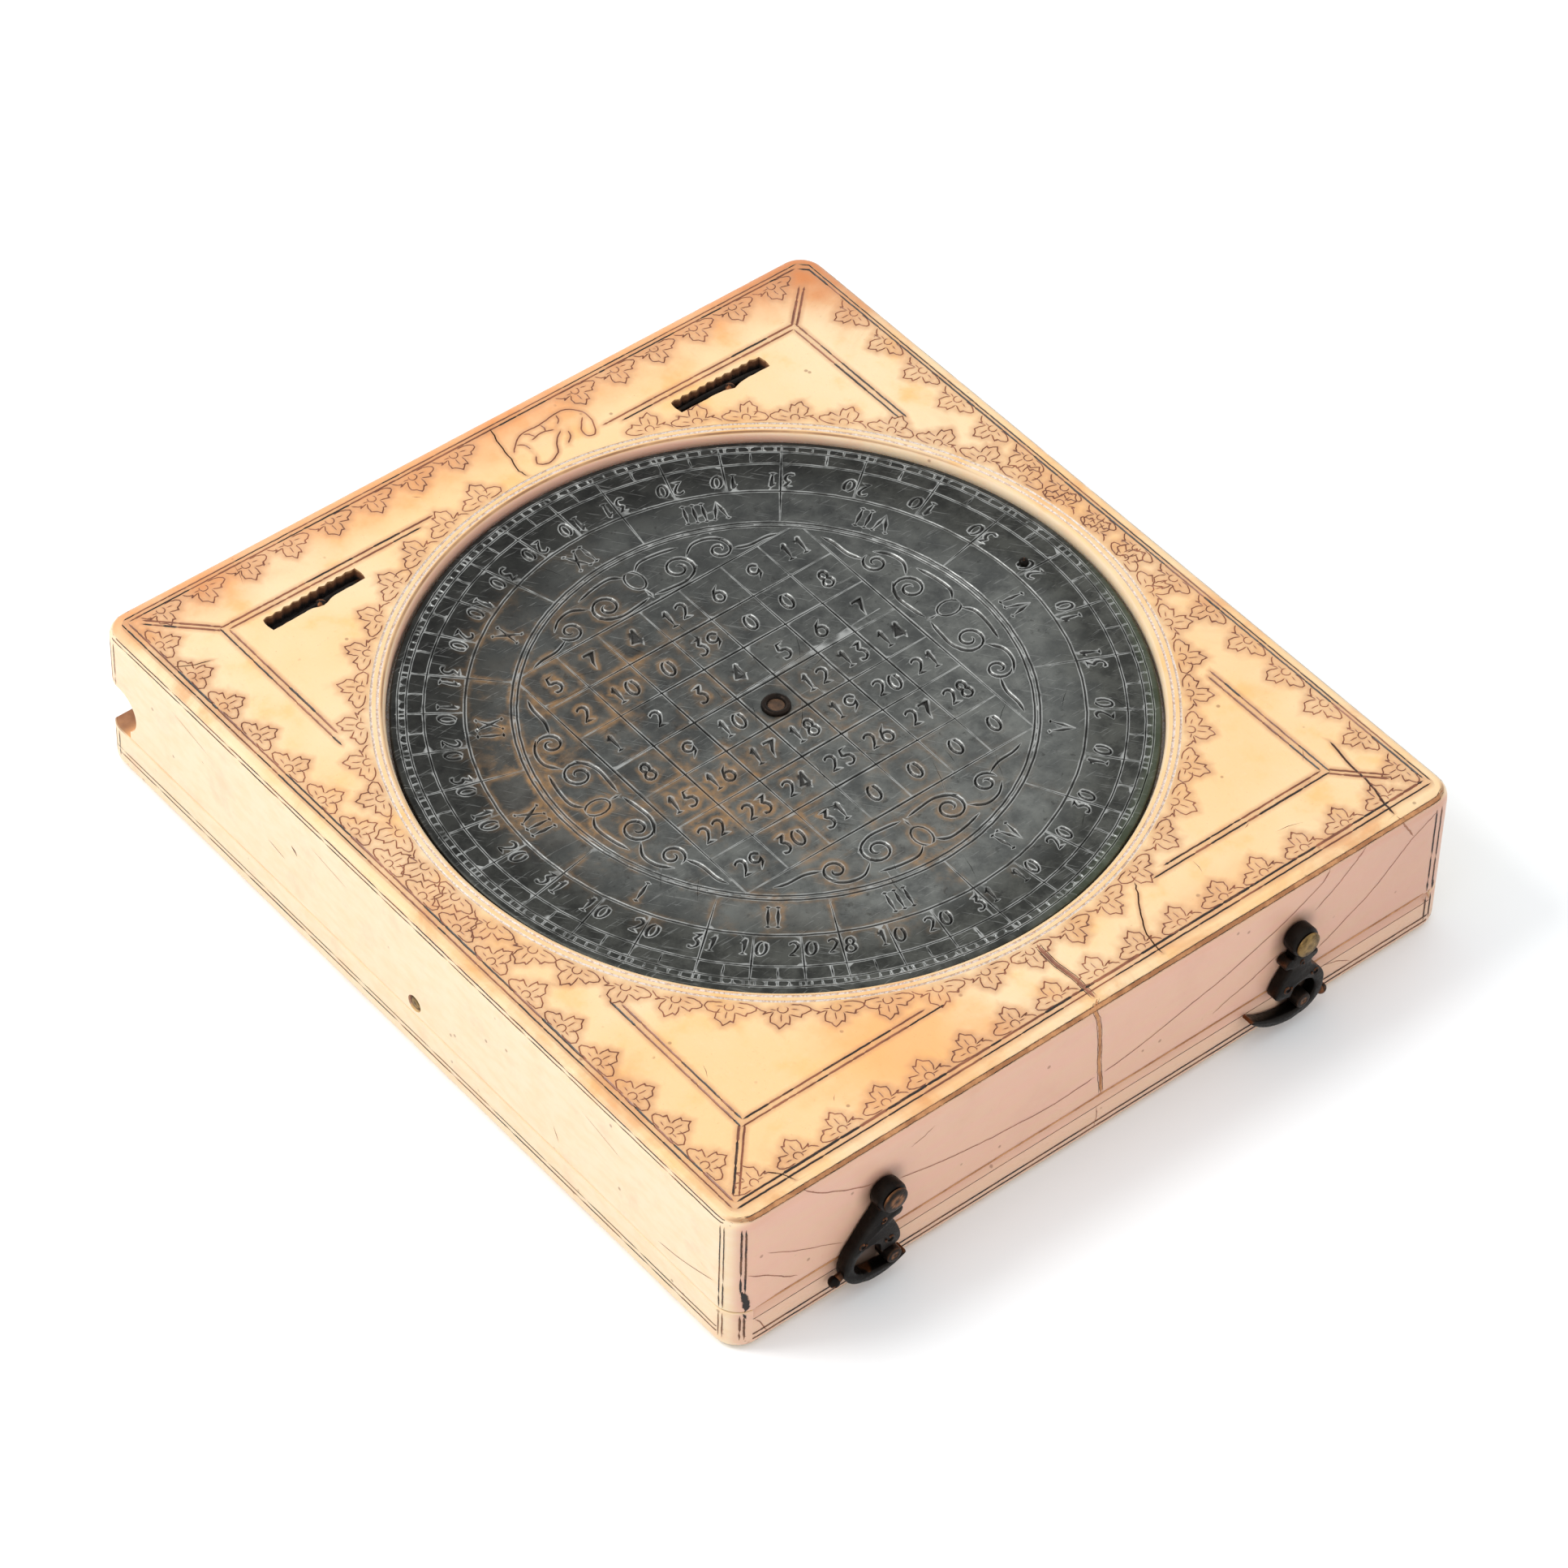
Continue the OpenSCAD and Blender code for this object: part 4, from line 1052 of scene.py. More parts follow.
def month_cuts(label, days, a0, a1):
    """One month: its border, day ticks, the numbers 10, 20 and last, and its numeral."""
    cuts = [disc_spoke(18.95, 27.15, a0, .08, .07)]
    day = (a1 - a0) / days
    for k in range(days):
        a = a0 + k * day
        j = rng.uniform(-.1, .1)
        if k % 2 == 1:
            ends = polar(DIAL, 26.5 + j * .6, a + j * .008), polar(DIAL, 26.98 + j * .3, a + j * .012)
            cuts.append(disc_line(*ends, .07, .04, 1.0, .2))
        if k % 10 == 5:
            cuts.append(disc_spoke(25.17, 26.4, a, .06, .06, halo=.3))
    for k in (10, 20, days):
        a = a0 + k * day
        if k != days:
            cuts.append(disc_spoke(22.25, 27.15, a, .07, .07))
        for s in number(str(k), polar(DIAL, PEG_R, a), 1.4, a + math.pi / 2, .1, .88):
            cuts.append(Cut(s, .12, .11, halo=.45, taper=.1, nib=a + math.pi / 2 + .6))
    mid = (a0 + a1) / 2 + math.pi / 2
    return cuts + roman(label, polar(DIAL, 20.52, mid - math.pi / 2), 1.85, mid, .13, .11, .45, .1, mid + .5)


def grid_cuts():
    cuts = []
    for gx, gy in zip(GRID_X, GRID_Y):
        j, e = rng.uniform(-.05, .05), rng.uniform(-.1, .12)
        cuts.append(disc_line((gx + j, GRID_Y[0] - e), (gx - j, GRID_Y[7] + e), .115, .12))
        cuts.append(disc_line((GRID_X[0] - e, gy - j), (GRID_X[7] + e, gy + j), .115, .12))
    for i, row in enumerate(ROWS):
        for k, text in enumerate(row):
            if text:
                at = ((GRID_X[k] + GRID_X[k + 1]) / 2 + rng.uniform(-.15, .15),
                      (GRID_Y[i] + GRID_Y[i + 1]) / 2 + rng.uniform(-.12, .12))
                for s in number(text, at, 1.65, rng.uniform(-.08, .08), step=.78):
                    cuts.append(Cut(s, .14, .12, halo=.45, taper=.12, nib=.6))
    return cuts


def segment_scrolls():
    """Plain scrolls in the four segments round the grid."""
    half = [spiral((3.3, 15.3), .25, 1.35, 90, -470, 26), spiral((6.9, 15.0), .2, 1.0, -60, 420, 22)]
    half += [smooth_path(path) for path in ([(.3, 14.2), (1.6, 14.0), (3.2, 13.95), (4.6, 14.7)],
                                            [(4.5, 15.9), (5.6, 16.6), (6.9, 16.4), (7.9, 15.6)],
                                            [(7.7, 14.5), (8.9, 14.0), (10.4, 13.9), (11.4, 13.6)],
                                            [(.5, 16.9), (1.4, 17.5), (3.0, 17.4), (4.6, 17.0)])]
    other = [spiral((-3.3, 15.3), .25, 1.35, 90, 650, 26), spiral((-6.9, 15.0), .2, 1.0, -60, -540, 22)]
    other += [[(-x, y) for x, y in path] for path in half[2:]]
    middle = [arc(0, 16.2, .7, 1.0, 90, 440, 14), [(0, 14.1), (.02, 14.6), (0, 15.1)]]
    cuts = []
    for q in range(4):
        co, si = polar((0, 0), 1, q * math.pi / 2)
        for strokes, w, d, taper, nib in ((other + half, .13, .11, .6, .6), (middle, .09, .07, .3, False)):
            for s in strokes:
                pts = [(DIAL[0] + x * co - y * si, DIAL[1] + x * si + y * co) for x, y in s]
                cuts.append(Cut(pts, w, d, halo=.45, taper=taper, nib=nib))
    return cuts


def disc_cuts():
    cuts = []
    for r, w in ((27.03, .045), (26.42, .05), (25.15, .06), (22.22, .1), (18.9, .1), (18.5, .09)):
        loop = [polar(DIAL, r + rng.uniform(-.02, .02), 2 * math.pi * k / 200) for k in range(200)]
        cuts.append(Cut(loop, w, .055, closed=True, halo=.4))
    starts = [math.radians(a) for a in MONTH_STARTS]
    for month in zip(HOURS, MONTH_DAYS, starts, starts[1:]):
        cuts += month_cuts(*month)
    cuts += grid_cuts() + segment_scrolls()
    # scratches and slips of the graver
    slip = [polar(DIAL, r, math.radians(a)) for r, a in ((13.2, 171), (12.6, 14))]
    cuts.append(disc_line(*slip, .035, .03, halo=.25))
    for _ in range(46):
        r, a = rng.uniform(2, 25), rng.uniform(0, 6.28)
        p, length, t = polar(DIAL, r, a), rng.uniform(.8, 4.5), rng.uniform(0, 6.28)
        cuts.append(Cut([p, polar(p, length * .5, t), polar(p, length, t + .06)], .022, .015))
    return cuts


def calendar_disc():
    r_top, z = 27.38, DISC_TOP
    engraved("calendar_disc_face", ring(r_top, 288), [ring(27.08, 288)],
             lambda x, y: math.dist((x, y), DIAL) < r_top, disc_cuts(), z, 1, PEWTER, "calendar", burr=0.022,
             pitch=0.5)
    rim = revolve([(r_top, 0), (27.5, -.03), (27.58, -.1), (DISC_R, -.2), (DISC_R, .1 - DISC_T),
                   (DISC_R - .1, -DISC_T), (.82, -DISC_T)], 288, DIAL, z)
    blank = [0.0] * len(rim[0])
    piece("calendar_disc_rim", rim, PEWTER, "calendar", 30, {"ink": blank, "halo": blank},
          replaces=("calendar_disc",))


def calendar_fittings():
    z = DISC_TOP
    # centre rivet: worn ring round a dark hollow
    v, f = revolve([(.001, .06), (.6, .07), (.66, .2), (.76, .31), (.9, .34), (1.02, .3), (1.09, .18),
                    (1.1, 0)], 64, DIAL, z)
    r = random.Random(2)
    v = [(x + r.uniform(-.012, .012), y + r.uniform(-.012, .012), q + r.uniform(-.015, .015) * (q > z))
         for x, y, q in v]
    piece("arbor_head", (v, f), BRONZE_WORN, "calendar", 60)
    piece("arbor_hollow", revolve([(.001, .1), (.62, .1)], 40, DIAL, z), HOLLOW, "calendar")
    stem = revolve([(0, 8.62), (.9, 8.6), (1.1, 8.68), (1.1, 8.8), (.8, 8.8), (.8, z)], 48, DIAL)
    piece("arbor_stem", stem, BRASS_OLD, "calendar", replaces=("calendar_arbor",))
    peg = revolve([(0, .5), (.14, .5), (.25, .46), (.33, .36), (.37, .2), (.38, -.9), (0, -.9)], 32,
                  (DIAL[0] + PEG_R, DIAL[1] + .12), z)
    piece("turning_peg_head", peg, BRONZE, "calendar", 50, replaces=("turning_peg",))


# Marks on the sides
class Marks:
    """Thin strips laid just over a surface."""

    def __init__(self):
        self.v, self.f, self.ink = [], [], []

    def add(self, pts, n, w, taper=.5, lift=.014):
        """A strip of half width w along pts; n is its normal, or a list with one for each point."""
        pts = [Vector(p) for p in pts]
        ns = [Vector(q) for q in (n if isinstance(n, list) else [n] * len(pts))]
        total = sum((b - a).length for a, b in zip(pts, pts[1:])) or 1e-6
        s, last = 0.0, len(pts) - 1
        for i, p in enumerate(pts):
            s += (p - pts[i - 1]).length if i else 0.0
            side = (pts[min(i + 1, last)] - pts[max(i - 1, 0)]).cross(ns[i]).normalized()
            half = w * max(.15, min(1.0, s / taper, (total - s) / taper))
            k = len(self.v)
            self.v += [tuple(p + side * (u * half) + ns[i] * lift) for u in (-1, 0, 1)]
            self.ink += [0.0, 1.0, 0.0]
            if i < last:
                self.f += [(k, k + 1, k + 4, k + 3), (k + 1, k + 2, k + 5, k + 4)]

    def run(self, at, u0, u1, w, dash=None, step=.7):
        """A strip along at(u), which gives points and normals, broken into strokes about dash long."""
        way = 1 if u1 > u0 else -1
        u = u0
        while (u1 - u) * way > .05:
            length = abs(u1 - u)
            if dash:
                length = min(length, rng.uniform(.5, 1.5) * dash)
            k = max(1, round(length / step))
            pts, ns = zip(*(at(u + way * length * i / k) for i in range(k + 1)))
            self.add(pts, list(ns), w * rng.uniform(.85, 1.15), .15 if dash else .4)
            u += way * (length + (rng.uniform(-.1, .12) if dash else 0))

    def done(self, name, mat, body):
        piece(name, (self.v, self.f), mat, body, None, {"ink": self.ink})


def skin(n, u, z, d=0.0):
    """Point and normal on a leaf's side: u along the face and on round its corner, d moved in."""
    half, out = (HL, HW) if n[0] else (HW, HL)
    half, out, r = half - INSET - d, out - INSET - d, CORNER_R - d
    s = max(0.0, min(.97, (abs(u) - half + r) / r))
    q = math.sqrt(1 - s * s)
    depth = r * (1 - q)
    s = math.copysign(s, u)
    if n[0]:
        return (n[0] * (out - depth), u, z), (n[0] * q, s, 0)
    return (u, n[1] * (out - depth), z), (s, n[1] * q, 0)


def over_edge(n, u, t):
    """Point and normal on the rounded top edge, t the angle down from the top."""
    p, m = skin(n, u, TOP_Z - ARRIS_R + ARRIS_R * math.cos(t), ARRIS_R * (1 - math.sin(t)))
    return p, (m[0] * math.sin(t), m[1] * math.sin(t), math.cos(t))


FRONT, BACK, LEFT, RIGHT = (0, -1, 0), (0, 1, 0), (-1, 0, 0), (1, 0, 0)

# Fine cracks on the front, as (x, z), with their half widths
FRONT_HAIRS = (
    (((-26.9, 13.1), (-25.0, 11.7), (-22.3, 10.2), (-20.9, 9.7)), .055),
    (((-18.6, 8.5), (-16.1, 7.85), (-13.7, 7.3), (-10.8, 6.8), (-7.7, 6.45), (-5.0, 6.2), (-2.3, 6.3),
      (-.9, 6.4)), .055),
    (((0, 6.3), (2.7, 6.7), (5.3, 7.2), (8.0, 7.9), (10.7, 8.5), (13.3, 9.4), (15.6, 10.2), (17.8, 11.2),
      (19.6, 12.2), (20.7, 13.0)), .055),
    (((10.1, 5.3), (11.8, 5.9), (13.3, 6.3), (14.7, 6.85), (16.1, 7.4)), .05),
    (((19.3, 9.75), (20.9, 10.75), (22.2, 11.75), (23.1, 12.5), (24.1, 13.0)), .05),
    (((20.0, 5.35), (21.3, 6.0), (23.1, 7.0), (24.9, 8.0), (26.4, 9.2), (27.6, 10.3), (28.7, 11.2),
      (29.8, 11.85), (30.8, 12.4)), .05),
    (((27.6, 13.28), (27.75, 12.9), (28.1, 12.3), (28.6, 11.4)), .08),
    (((-31.7, 7.85), (-30.1, 6.85), (-28.6, 5.6), (-27.4, 4.85)), .05),
    (((-30.1, 9.2), (-27.7, 7.6), (-25.4, 6.4), (-23.4, 5.3)), .035),
    (((-17.7, 11.1), (-16.7, 11.3), (-15.6, 11.8)), .035))
LID_HAIRS = (([(20.9, 3.0), (22.2, 2.6), (23.6, 1.7)], .05),
             ([(-31.1, 3.0), (-30.5, 2.1), (-30.0, .95)], .07),
             ([(-.5, 3.0), (-.4, 2.1), (-.6, 1.0)], .06))
MAIN_CRACK = ((-.4, 13.29), (-1.1, 13.07), (-.9, 12.0), (-.67, 9.75), (-.56, 7.5), (-.33, 5.75), (-.16, 4.2))
JOINT = [(-31.0, 4.14), (-15.0, 4.1), (0, 4.12), (15.0, 4.1), (31.2, 4.14)]
# The same on the left, as (y, z)
LEFT_HAIRS = ([(-28.4, 5.0), (-31.0, 5.4), (-34.3, 6.4)], [(-17.5, 5.2), (-16.9, 6.4)],
              [(14, 7.2), (16, 7.6)])
LEFT_PITS = (([(13.15, 9.3), (12.8, 9.06), (12.5, 8.75)], .17),
             ([(23.9, 9.1), (23.8, 9.07), (23.7, 9.0)], .12))
# Lines at the ends of each side: (u, lowest z), then their half width
POSTS = ((FRONT, ((-32.09, 6.0), (-31.82, 6.0), (30.8, 4.2), (31.33, 4.2)), .12),
         (LEFT, ((-34.85, 4.15), (-35.15, 4.15), (34.56, 8.4), (35.13, 8.4)), .07),
         (RIGHT, ((-34.85, 4.15), (-35.15, 4.15), (34.56, 8.4), (35.13, 8.4)), .06),
         (BACK, ((-31.8, 8.5), (-31.4, 8.5), (31.4, 8.5), (31.8, 8.5)), .06))
# Lines along the lid's sides: (z, half width)
LID_LINES = ((FRONT, ((1.45, .15), (.95, .12), (3.04, .045))), (LEFT, ((1.95, .07), (1.5, .09))),
             (RIGHT, ((1.95, .07), (1.5, .09))))


def jitter():
    return rng.uniform(-.012, .012)


def ruled_lines(low, up, crack):
    """Lines under the rounded top edge with a band of painted shade between them in front, the pairs at the
    ends of each side, and the lid's lines.
    """
    for n, angles, w, dash in ((FRONT, (.4, .71), .085, None), (LEFT, (.83, 1.09), .055, 5),
                               (RIGHT, (.83, 1.09), .055, 5), (BACK, (.83, 1.09), .055, 5)):
        e = (HL if n[0] else HW) - 1.0
        for t in angles:
            low.run(lambda u: over_edge(n, u, t + jitter()), -e, e, w, dash)
    # painted shade: a brown band on the front's rounded top edge, between its two lines
    crack.run(lambda u: over_edge(FRONT, u, .56 + jitter()), 1 - HW, HW - 1, .2)
    for n, us, w in POSTS:
        for u, z0 in us:
            low.run(lambda z: skin(n, u + jitter(), z), 12.6, z0, w, 5, .5)
            if n != BACK:
                up.run(lambda z: skin(n, u + jitter(), z), UPPER_T - .25, 1.1, w, 3, .5)
    for n, rows in LID_LINES:
        e = (HL if n[0] else HW) - 1.2
        for z, w in rows:
            up.run(lambda u: skin(n, u, z + jitter()), -e, e, w, None if n == FRONT else 6)


def front_mark(marks, pts, w, jit=.035):
    """A hand-drawn line on the front, which follows the rounded edge at its top."""
    found = []
    for x, z in smooth_path(pts, 5):
        x, z = x + rng.uniform(-jit, jit), z + rng.uniform(-jit, jit)
        rise = (z - TOP_Z + ARRIS_R) / ARRIS_R
        found.append(over_edge(FRONT, x, math.acos(min(1.0, rise))) if rise > 0 else skin(FRONT, x, z))
    marks.add([p for p, _ in found], [n for _, n in found], w)


def side_marks():
    low, up, hair, hair_up, crack = (Marks() for _ in range(5))
    ruled_lines(low, up, crack)
    for pts, w in FRONT_HAIRS:
        front_mark(hair, pts, w * 1.35)
    for pts, w in LID_HAIRS:
        front_mark(hair_up, pts, w)
    front_mark(crack, MAIN_CRACK, .19)
    for o in (-.19, .19):
        front_mark(low, [(x + o, z) for x, z in MAIN_CRACK], .035)
    # dirt in the joint, and painted shade standing in for the notches at its ends
    front_mark(crack, JOINT, .15)
    # painted shade: dark marks for the notches at the joint's ends
    front_mark(low, [(-32.0, 6.2), (-31.8, 5.3), (-31.7, 4.5), (-31.8, 4.05)], .36)
    front_mark(low, [(31.5, 4.9), (31.4, 4.05)], .24)
    front_mark(up, [(-31.9, 3.85), (-31.7, 3.3)], .3)
    # cracks and pits on the left, then short hairlines on every side but the front
    for pts in LEFT_HAIRS:
        hair.add([skin(LEFT, y, z)[0] for y, z in smooth_path(pts, 4)], LEFT, .05)
    for pts, w in LEFT_PITS:
        low.add([skin(LEFT, y, z)[0] for y, z in pts], LEFT, w)
    r = random.Random(5)
    for n in (LEFT,) * 3 + (RIGHT,) * 4 + (BACK,) * 6:
        u, z, drift = r.uniform(-26, 26), r.uniform(8.6, 11), r.uniform(-.3, .3)
        hair.add([skin(n, u + k * 1.1, z + k * drift)[0] for k in range(5)], n, .03)
    low.done("side_lines_lower", INK_LINE_AND_SHADE, "lower_leaf")
    up.done("side_lines_upper", INK_LINE_AND_SHADE, "upper_leaf")
    hair.done("hairlines_lower", HAIR, "lower_leaf")
    hair_up.done("hairlines_upper", HAIR, "upper_leaf")
    crack.done("crack_and_shade_front", CRACK_AND_SHADE, "lower_leaf")


# Inner face of the lower leaf, and the compass
def compass_face():
    def inside(x, y):
        return in_outline(x, y, INNER_EDGE) and y < COVE_LIP and math.dist((x, y), DIAL) > LEDGE_R - 2e-3

    cuts = rect_lines((1.2, 1.55), .08, 31.7) + rings((17.5, 17.8, 22.4, 22.8, 26.6), DIAL)
    for k in range(24):
        a = 2 * math.pi * k / 24 + math.pi / 2
        cuts.append(Cut(spoke(DIAL, a, 17.8, 20, 22.4), .06, .05, taper=.2))
        if k % 2 == 0:
            at = polar(DIAL, 24.7, a)
            cuts += roman(HOURS[(k // 2 + 11) % 12], at, 2.2, a - math.pi / 2, .11, halo=.25)
    for sx in (-1, 1):
        for sy, y in ((-1, -28.8), (1, 26.3)):
            for k in range(3):
                cuts += put_leaf((sx * (20.5 + 3.6 * k), y), 90 * sy, 1.0, sx)
    edge = cut_off(outline(INNER_EDGE), lambda x: -HL, COVE_LIP)
    engraved("compass_face", edge, [ring(LEDGE_R, 192)], inside, cuts, INNER_Z, -1, IVORY_INK, "lower_leaf")
    well = revolve([(LEDGE_R, INNER_Z), (LEDGE_R, LEDGE_Z), (WELL_R, LEDGE_Z), (WELL_R, WELL_Z),
                    (.85, WELL_Z)], 192, DIAL)
    piece("compass_well", inside_out(well), IVORY, "lower_leaf", 30)


def compass_card():
    """Card with a rose of 16 points and degree marks."""
    r_in, r_out, thin = 4.9, 15.78, .004
    cuts = rings((15.4, 14.2, 9.0), DIAL, .05, thin, 160, 0.0)
    for k in range(72):
        cuts.append(Cut(spoke(DIAL, 2 * math.pi * k / 72, 14.25, 14.8, 15.35), .04, thin, taper=.1))
    for k in range(16):
        a = 2 * math.pi * k / 16
        tip, r0 = (13.9 if k % 4 == 0 else 12.6 if k % 2 == 0 else 11.2), 5.4
        for s in (-1, 1):
            edge = [polar(DIAL, r, a + s * t) for r, t in ((tip, 0), ((tip + r0) / 2, .07), (r0, .16))]
            cuts.append(Cut(edge, .06, thin, taper=.3))
    engraved("compass_card_rose", ring(r_out, 160), [ring(r_in, 96)],
             lambda x, y: r_in < math.dist((x, y), DIAL) < r_out, cuts, CARD_Z, -1, PAPER, "lower_leaf",
             replaces=("compass_card",))


def compass_glass():
    pane = revolve([(.001, 5.4), (16.7, 5.4), (16.95, 5.25), (16.95, 4.65), (16.8, 4.5), (.001, 4.5)],
                   128, DIAL)
    piece("compass_glass_pane", pane, GLASS, "lower_leaf", 30, replaces=("compass_glass",))
    # sprung ring, open by 16 degrees
    loops = []
    for a in (math.radians(8 + 344 * i / 110) for i in range(111)):
        turns = (2 * math.pi * k / 10 for k in range(10))
        loops.append([(*polar(DIAL, 16.53 + .42 * math.cos(t), a), 4.275 + .2 * math.sin(t)) for t in turns])
    v, f = loft(loops)
    f[-2:] = [tuple(reversed(q)) for q in f[-2:]]
    piece("glass_spring_ring", (v, f), BRASS, "lower_leaf", 60, replaces=("glass_ring",))


def compass_needle():
    top, bottom = 6.475, 6.175
    quarter = [(0, 11.5), (.5, 9.4), (1.45, .9), (1.5, 0)]
    half = quarter + [(x, -y) for x, y in quarter[-2::-1]]
    pts = half + [(-x, y) for x, y in half[-2:0:-1]]

    def loop(k, z):
        return [(DIAL[0] + x * k, DIAL[1] + y * (1 if k == 1 else .99), z) for x, y in pts]

    blade = loft([loop(.8, bottom), loop(1, bottom + .08), loop(1, top - .08), loop(.8, top)])
    piece("needle_blade", blade, STEEL, "compass_needle", 25, replaces=("compass_needle",))
    cap = revolve([(0, 5.75), (.5, 5.76), (.72, 5.84), (.8, 5.98), (1.05, 6.0), (1.1, 6.08), (1.08, 6.17),
                   (.8, 6.2), (.8, 6.88), (.36, 6.9), (.36, 6.5)], 40, DIAL)
    piece("needle_cap_turned", cap, BRASS, "compass_needle", 50, replaces=("needle_cap",))


def hour_plate():
    """Elliptical hour ring with cross arms, its numerals facing down to the glass."""
    a, b, w = 13.2, 10.2, 3.0
    arm, tab, yoke_slot, pivot_slot = 2.1, (14.6, 1.8), (4.4, .72), (.42, 4.1)

    def ellipse(off):
        turns = (2 * math.pi * k / 96 for k in range(96))
        return [(DIAL[0] + (a - off) * math.cos(t), DIAL[1] + (b - off) * math.sin(t)) for t in turns]

    def box(hx, hy):
        return [(DIAL[0] + sx * hx, DIAL[1] + sy * hy) for sx, sy in ((-1, -1), (1, -1), (1, 1), (-1, 1))]

    def within(x, y, size):
        return abs(x) < size[0] and abs(y) < size[1]

    def inside(x, y):
        x, y = x - DIAL[0], y - DIAL[1]
        outer = (x / a) ** 2 + (y / b) ** 2 < 1
        inner = (x / (a - w)) ** 2 + (y / (b - w)) ** 2 < 1
        arms = within(x, y, (a, arm)) or within(x, y, (arm, b))
        holes = within(x, y, yoke_slot) or within(x, y, pivot_slot)
        return (outer and (arms or not inner) or within(x, y, tab)) and not holes

    loops = [ellipse(0), ellipse(w), box(a, arm), box(arm, b), box(*tab), box(*yoke_slot), box(*pivot_slot)]
    cuts = [Cut(ellipse(k), .05, .05, closed=True, halo=.2) for k in (.4, w - .4)]
    for h in range(24):
        t = 2 * math.pi * h / 24

        def at(off):
            return (DIAL[0] + (a - off) * math.cos(t), DIAL[1] + (b - off) * math.sin(t))

        cuts.append(Cut([at(.45), at(.8), at(1.15)], .05, .05, taper=.1))
        if h % 2:
            for s in number(str((h // 2) % 12 + 1), at(1.75), 1.0, t + math.pi / 2):
                cuts.append(Cut([(2 * DIAL[0] - x, y) for x, y in s], .06, .06, halo=.2, taper=.08))
    face = engraved("hour_plate_face", box(15.5, 11), loops, inside, cuts, PLATE_LOW, -1, PEWTER_LUNAR,
                    "hour_plate", replaces=("hour_plate",))
    engraved("hour_plate_back", box(15.5, 11), loops, inside, [], PLATE_HIGH, 1, PEWTER_LUNAR, "hour_plate")
    bm = bmesh.new()
    bm.from_mesh(face.data)
    v, f = [], []
    for edge in (e for e in bm.edges if e.is_boundary):
        p, q = (x.co / MM for x in edge.verts)
        f.append(tuple(range(len(v), len(v) + 4)))
        v += [(p.x, p.y, PLATE_LOW), (q.x, q.y, PLATE_LOW), (q.x, q.y, PLATE_HIGH), (p.x, p.y, PLATE_HIGH)]
    bm.free()
    piece("hour_plate_edge", (v, f), PEWTER_PLAIN, "hour_plate", None)


# Upper leaf
def upper_sides():
    lean = 1.3 * math.asin((UPPER_T - NOSE_Z) / NOSE_R)
    nose = [polar((NOSE_Y, NOSE_Z), NOSE_R, lean * (1 - 2 * i / 24)) for i in range(25)]
    nose = [(HL + 2, nose[0][1])] + nose + [(HL + 2, nose[-1][1])]
    y = INSET - HL
    bevel = [(-HL - 1, 5), (-HL - 1, UPPER_T - BEVEL_H), (y, UPPER_T - BEVEL_H), (y + BEVEL_Y, UPPER_T),
             (y + BEVEL_Y, 5)]
    shape = carve(loft(rim_loops(0.0, UPPER_T, ARRIS_R, 0)),
                  [prism_x(nose, -HW - 1, HW + 1), prism_x(bevel, BEVEL_END - HW, HW - BEVEL_END)])
    piece("upper_leaf_sides", open_ends(shape, (0.0, UPPER_T)), IVORY, "upper_leaf", 35,
          replaces=("upper_leaf",))


def lid_inner_face():
    back = NOSE_Y + math.sqrt(NOSE_R ** 2 - (UPPER_T - NOSE_Z) ** 2)
    fore = INSET - HL + BEVEL_Y
    hole_r = LUNAR_R + .25

    def front_at(x):
        return fore if abs(x) < HW - BEVEL_END else -HL

    def inside(x, y):
        return (in_outline(x, y, INNER_EDGE) and front_at(x) < y < back
                and math.dist((x, y), LUNAR) > hole_r - .002)

    cuts = rect_lines((1.4, 1.75), .08, 33.9) + rings((19.7, 22.8, 23.1, 26.6), LUNAR)
    for k in range(24):
        a = 2 * math.pi * k / 24 + math.pi / 2
        cuts += roman(HOURS[(k + 11) % 12], polar(LUNAR, 24.85, a), 2.0, a - math.pi / 2, .1)
        for j in range(4):
            tick = spoke(LUNAR, a + j * math.pi / 48, 19.75, 20.5, 21.1 if j else 22.75)
            cuts.append(Cut(tick, .05, .05, taper=.15))
    for sx in (-1, 1):
        for y, ang in ((-33.6, 90), (31.6, 270)):
            for k in range(4):
                cuts += put_leaf((sx * (17.5 + 3.7 * k), y), ang, 1.05, sx)
    edge = cut_off(outline(INNER_EDGE), front_at, back)
    engraved("lid_inner_face", edge, [ring(hole_r, 192, LUNAR)], inside, cuts, UPPER_T, 1, IVORY_INK,
             "upper_leaf")
    recess = revolve([(hole_r, UPPER_T), (hole_r, 2.7), (1.17, 2.7), (1.17, .55), (1.95, .5), (1.95, 0)],
                     192, LUNAR)
    piece("lunar_recess", inside_out(recess), IVORY, "upper_leaf", 30)


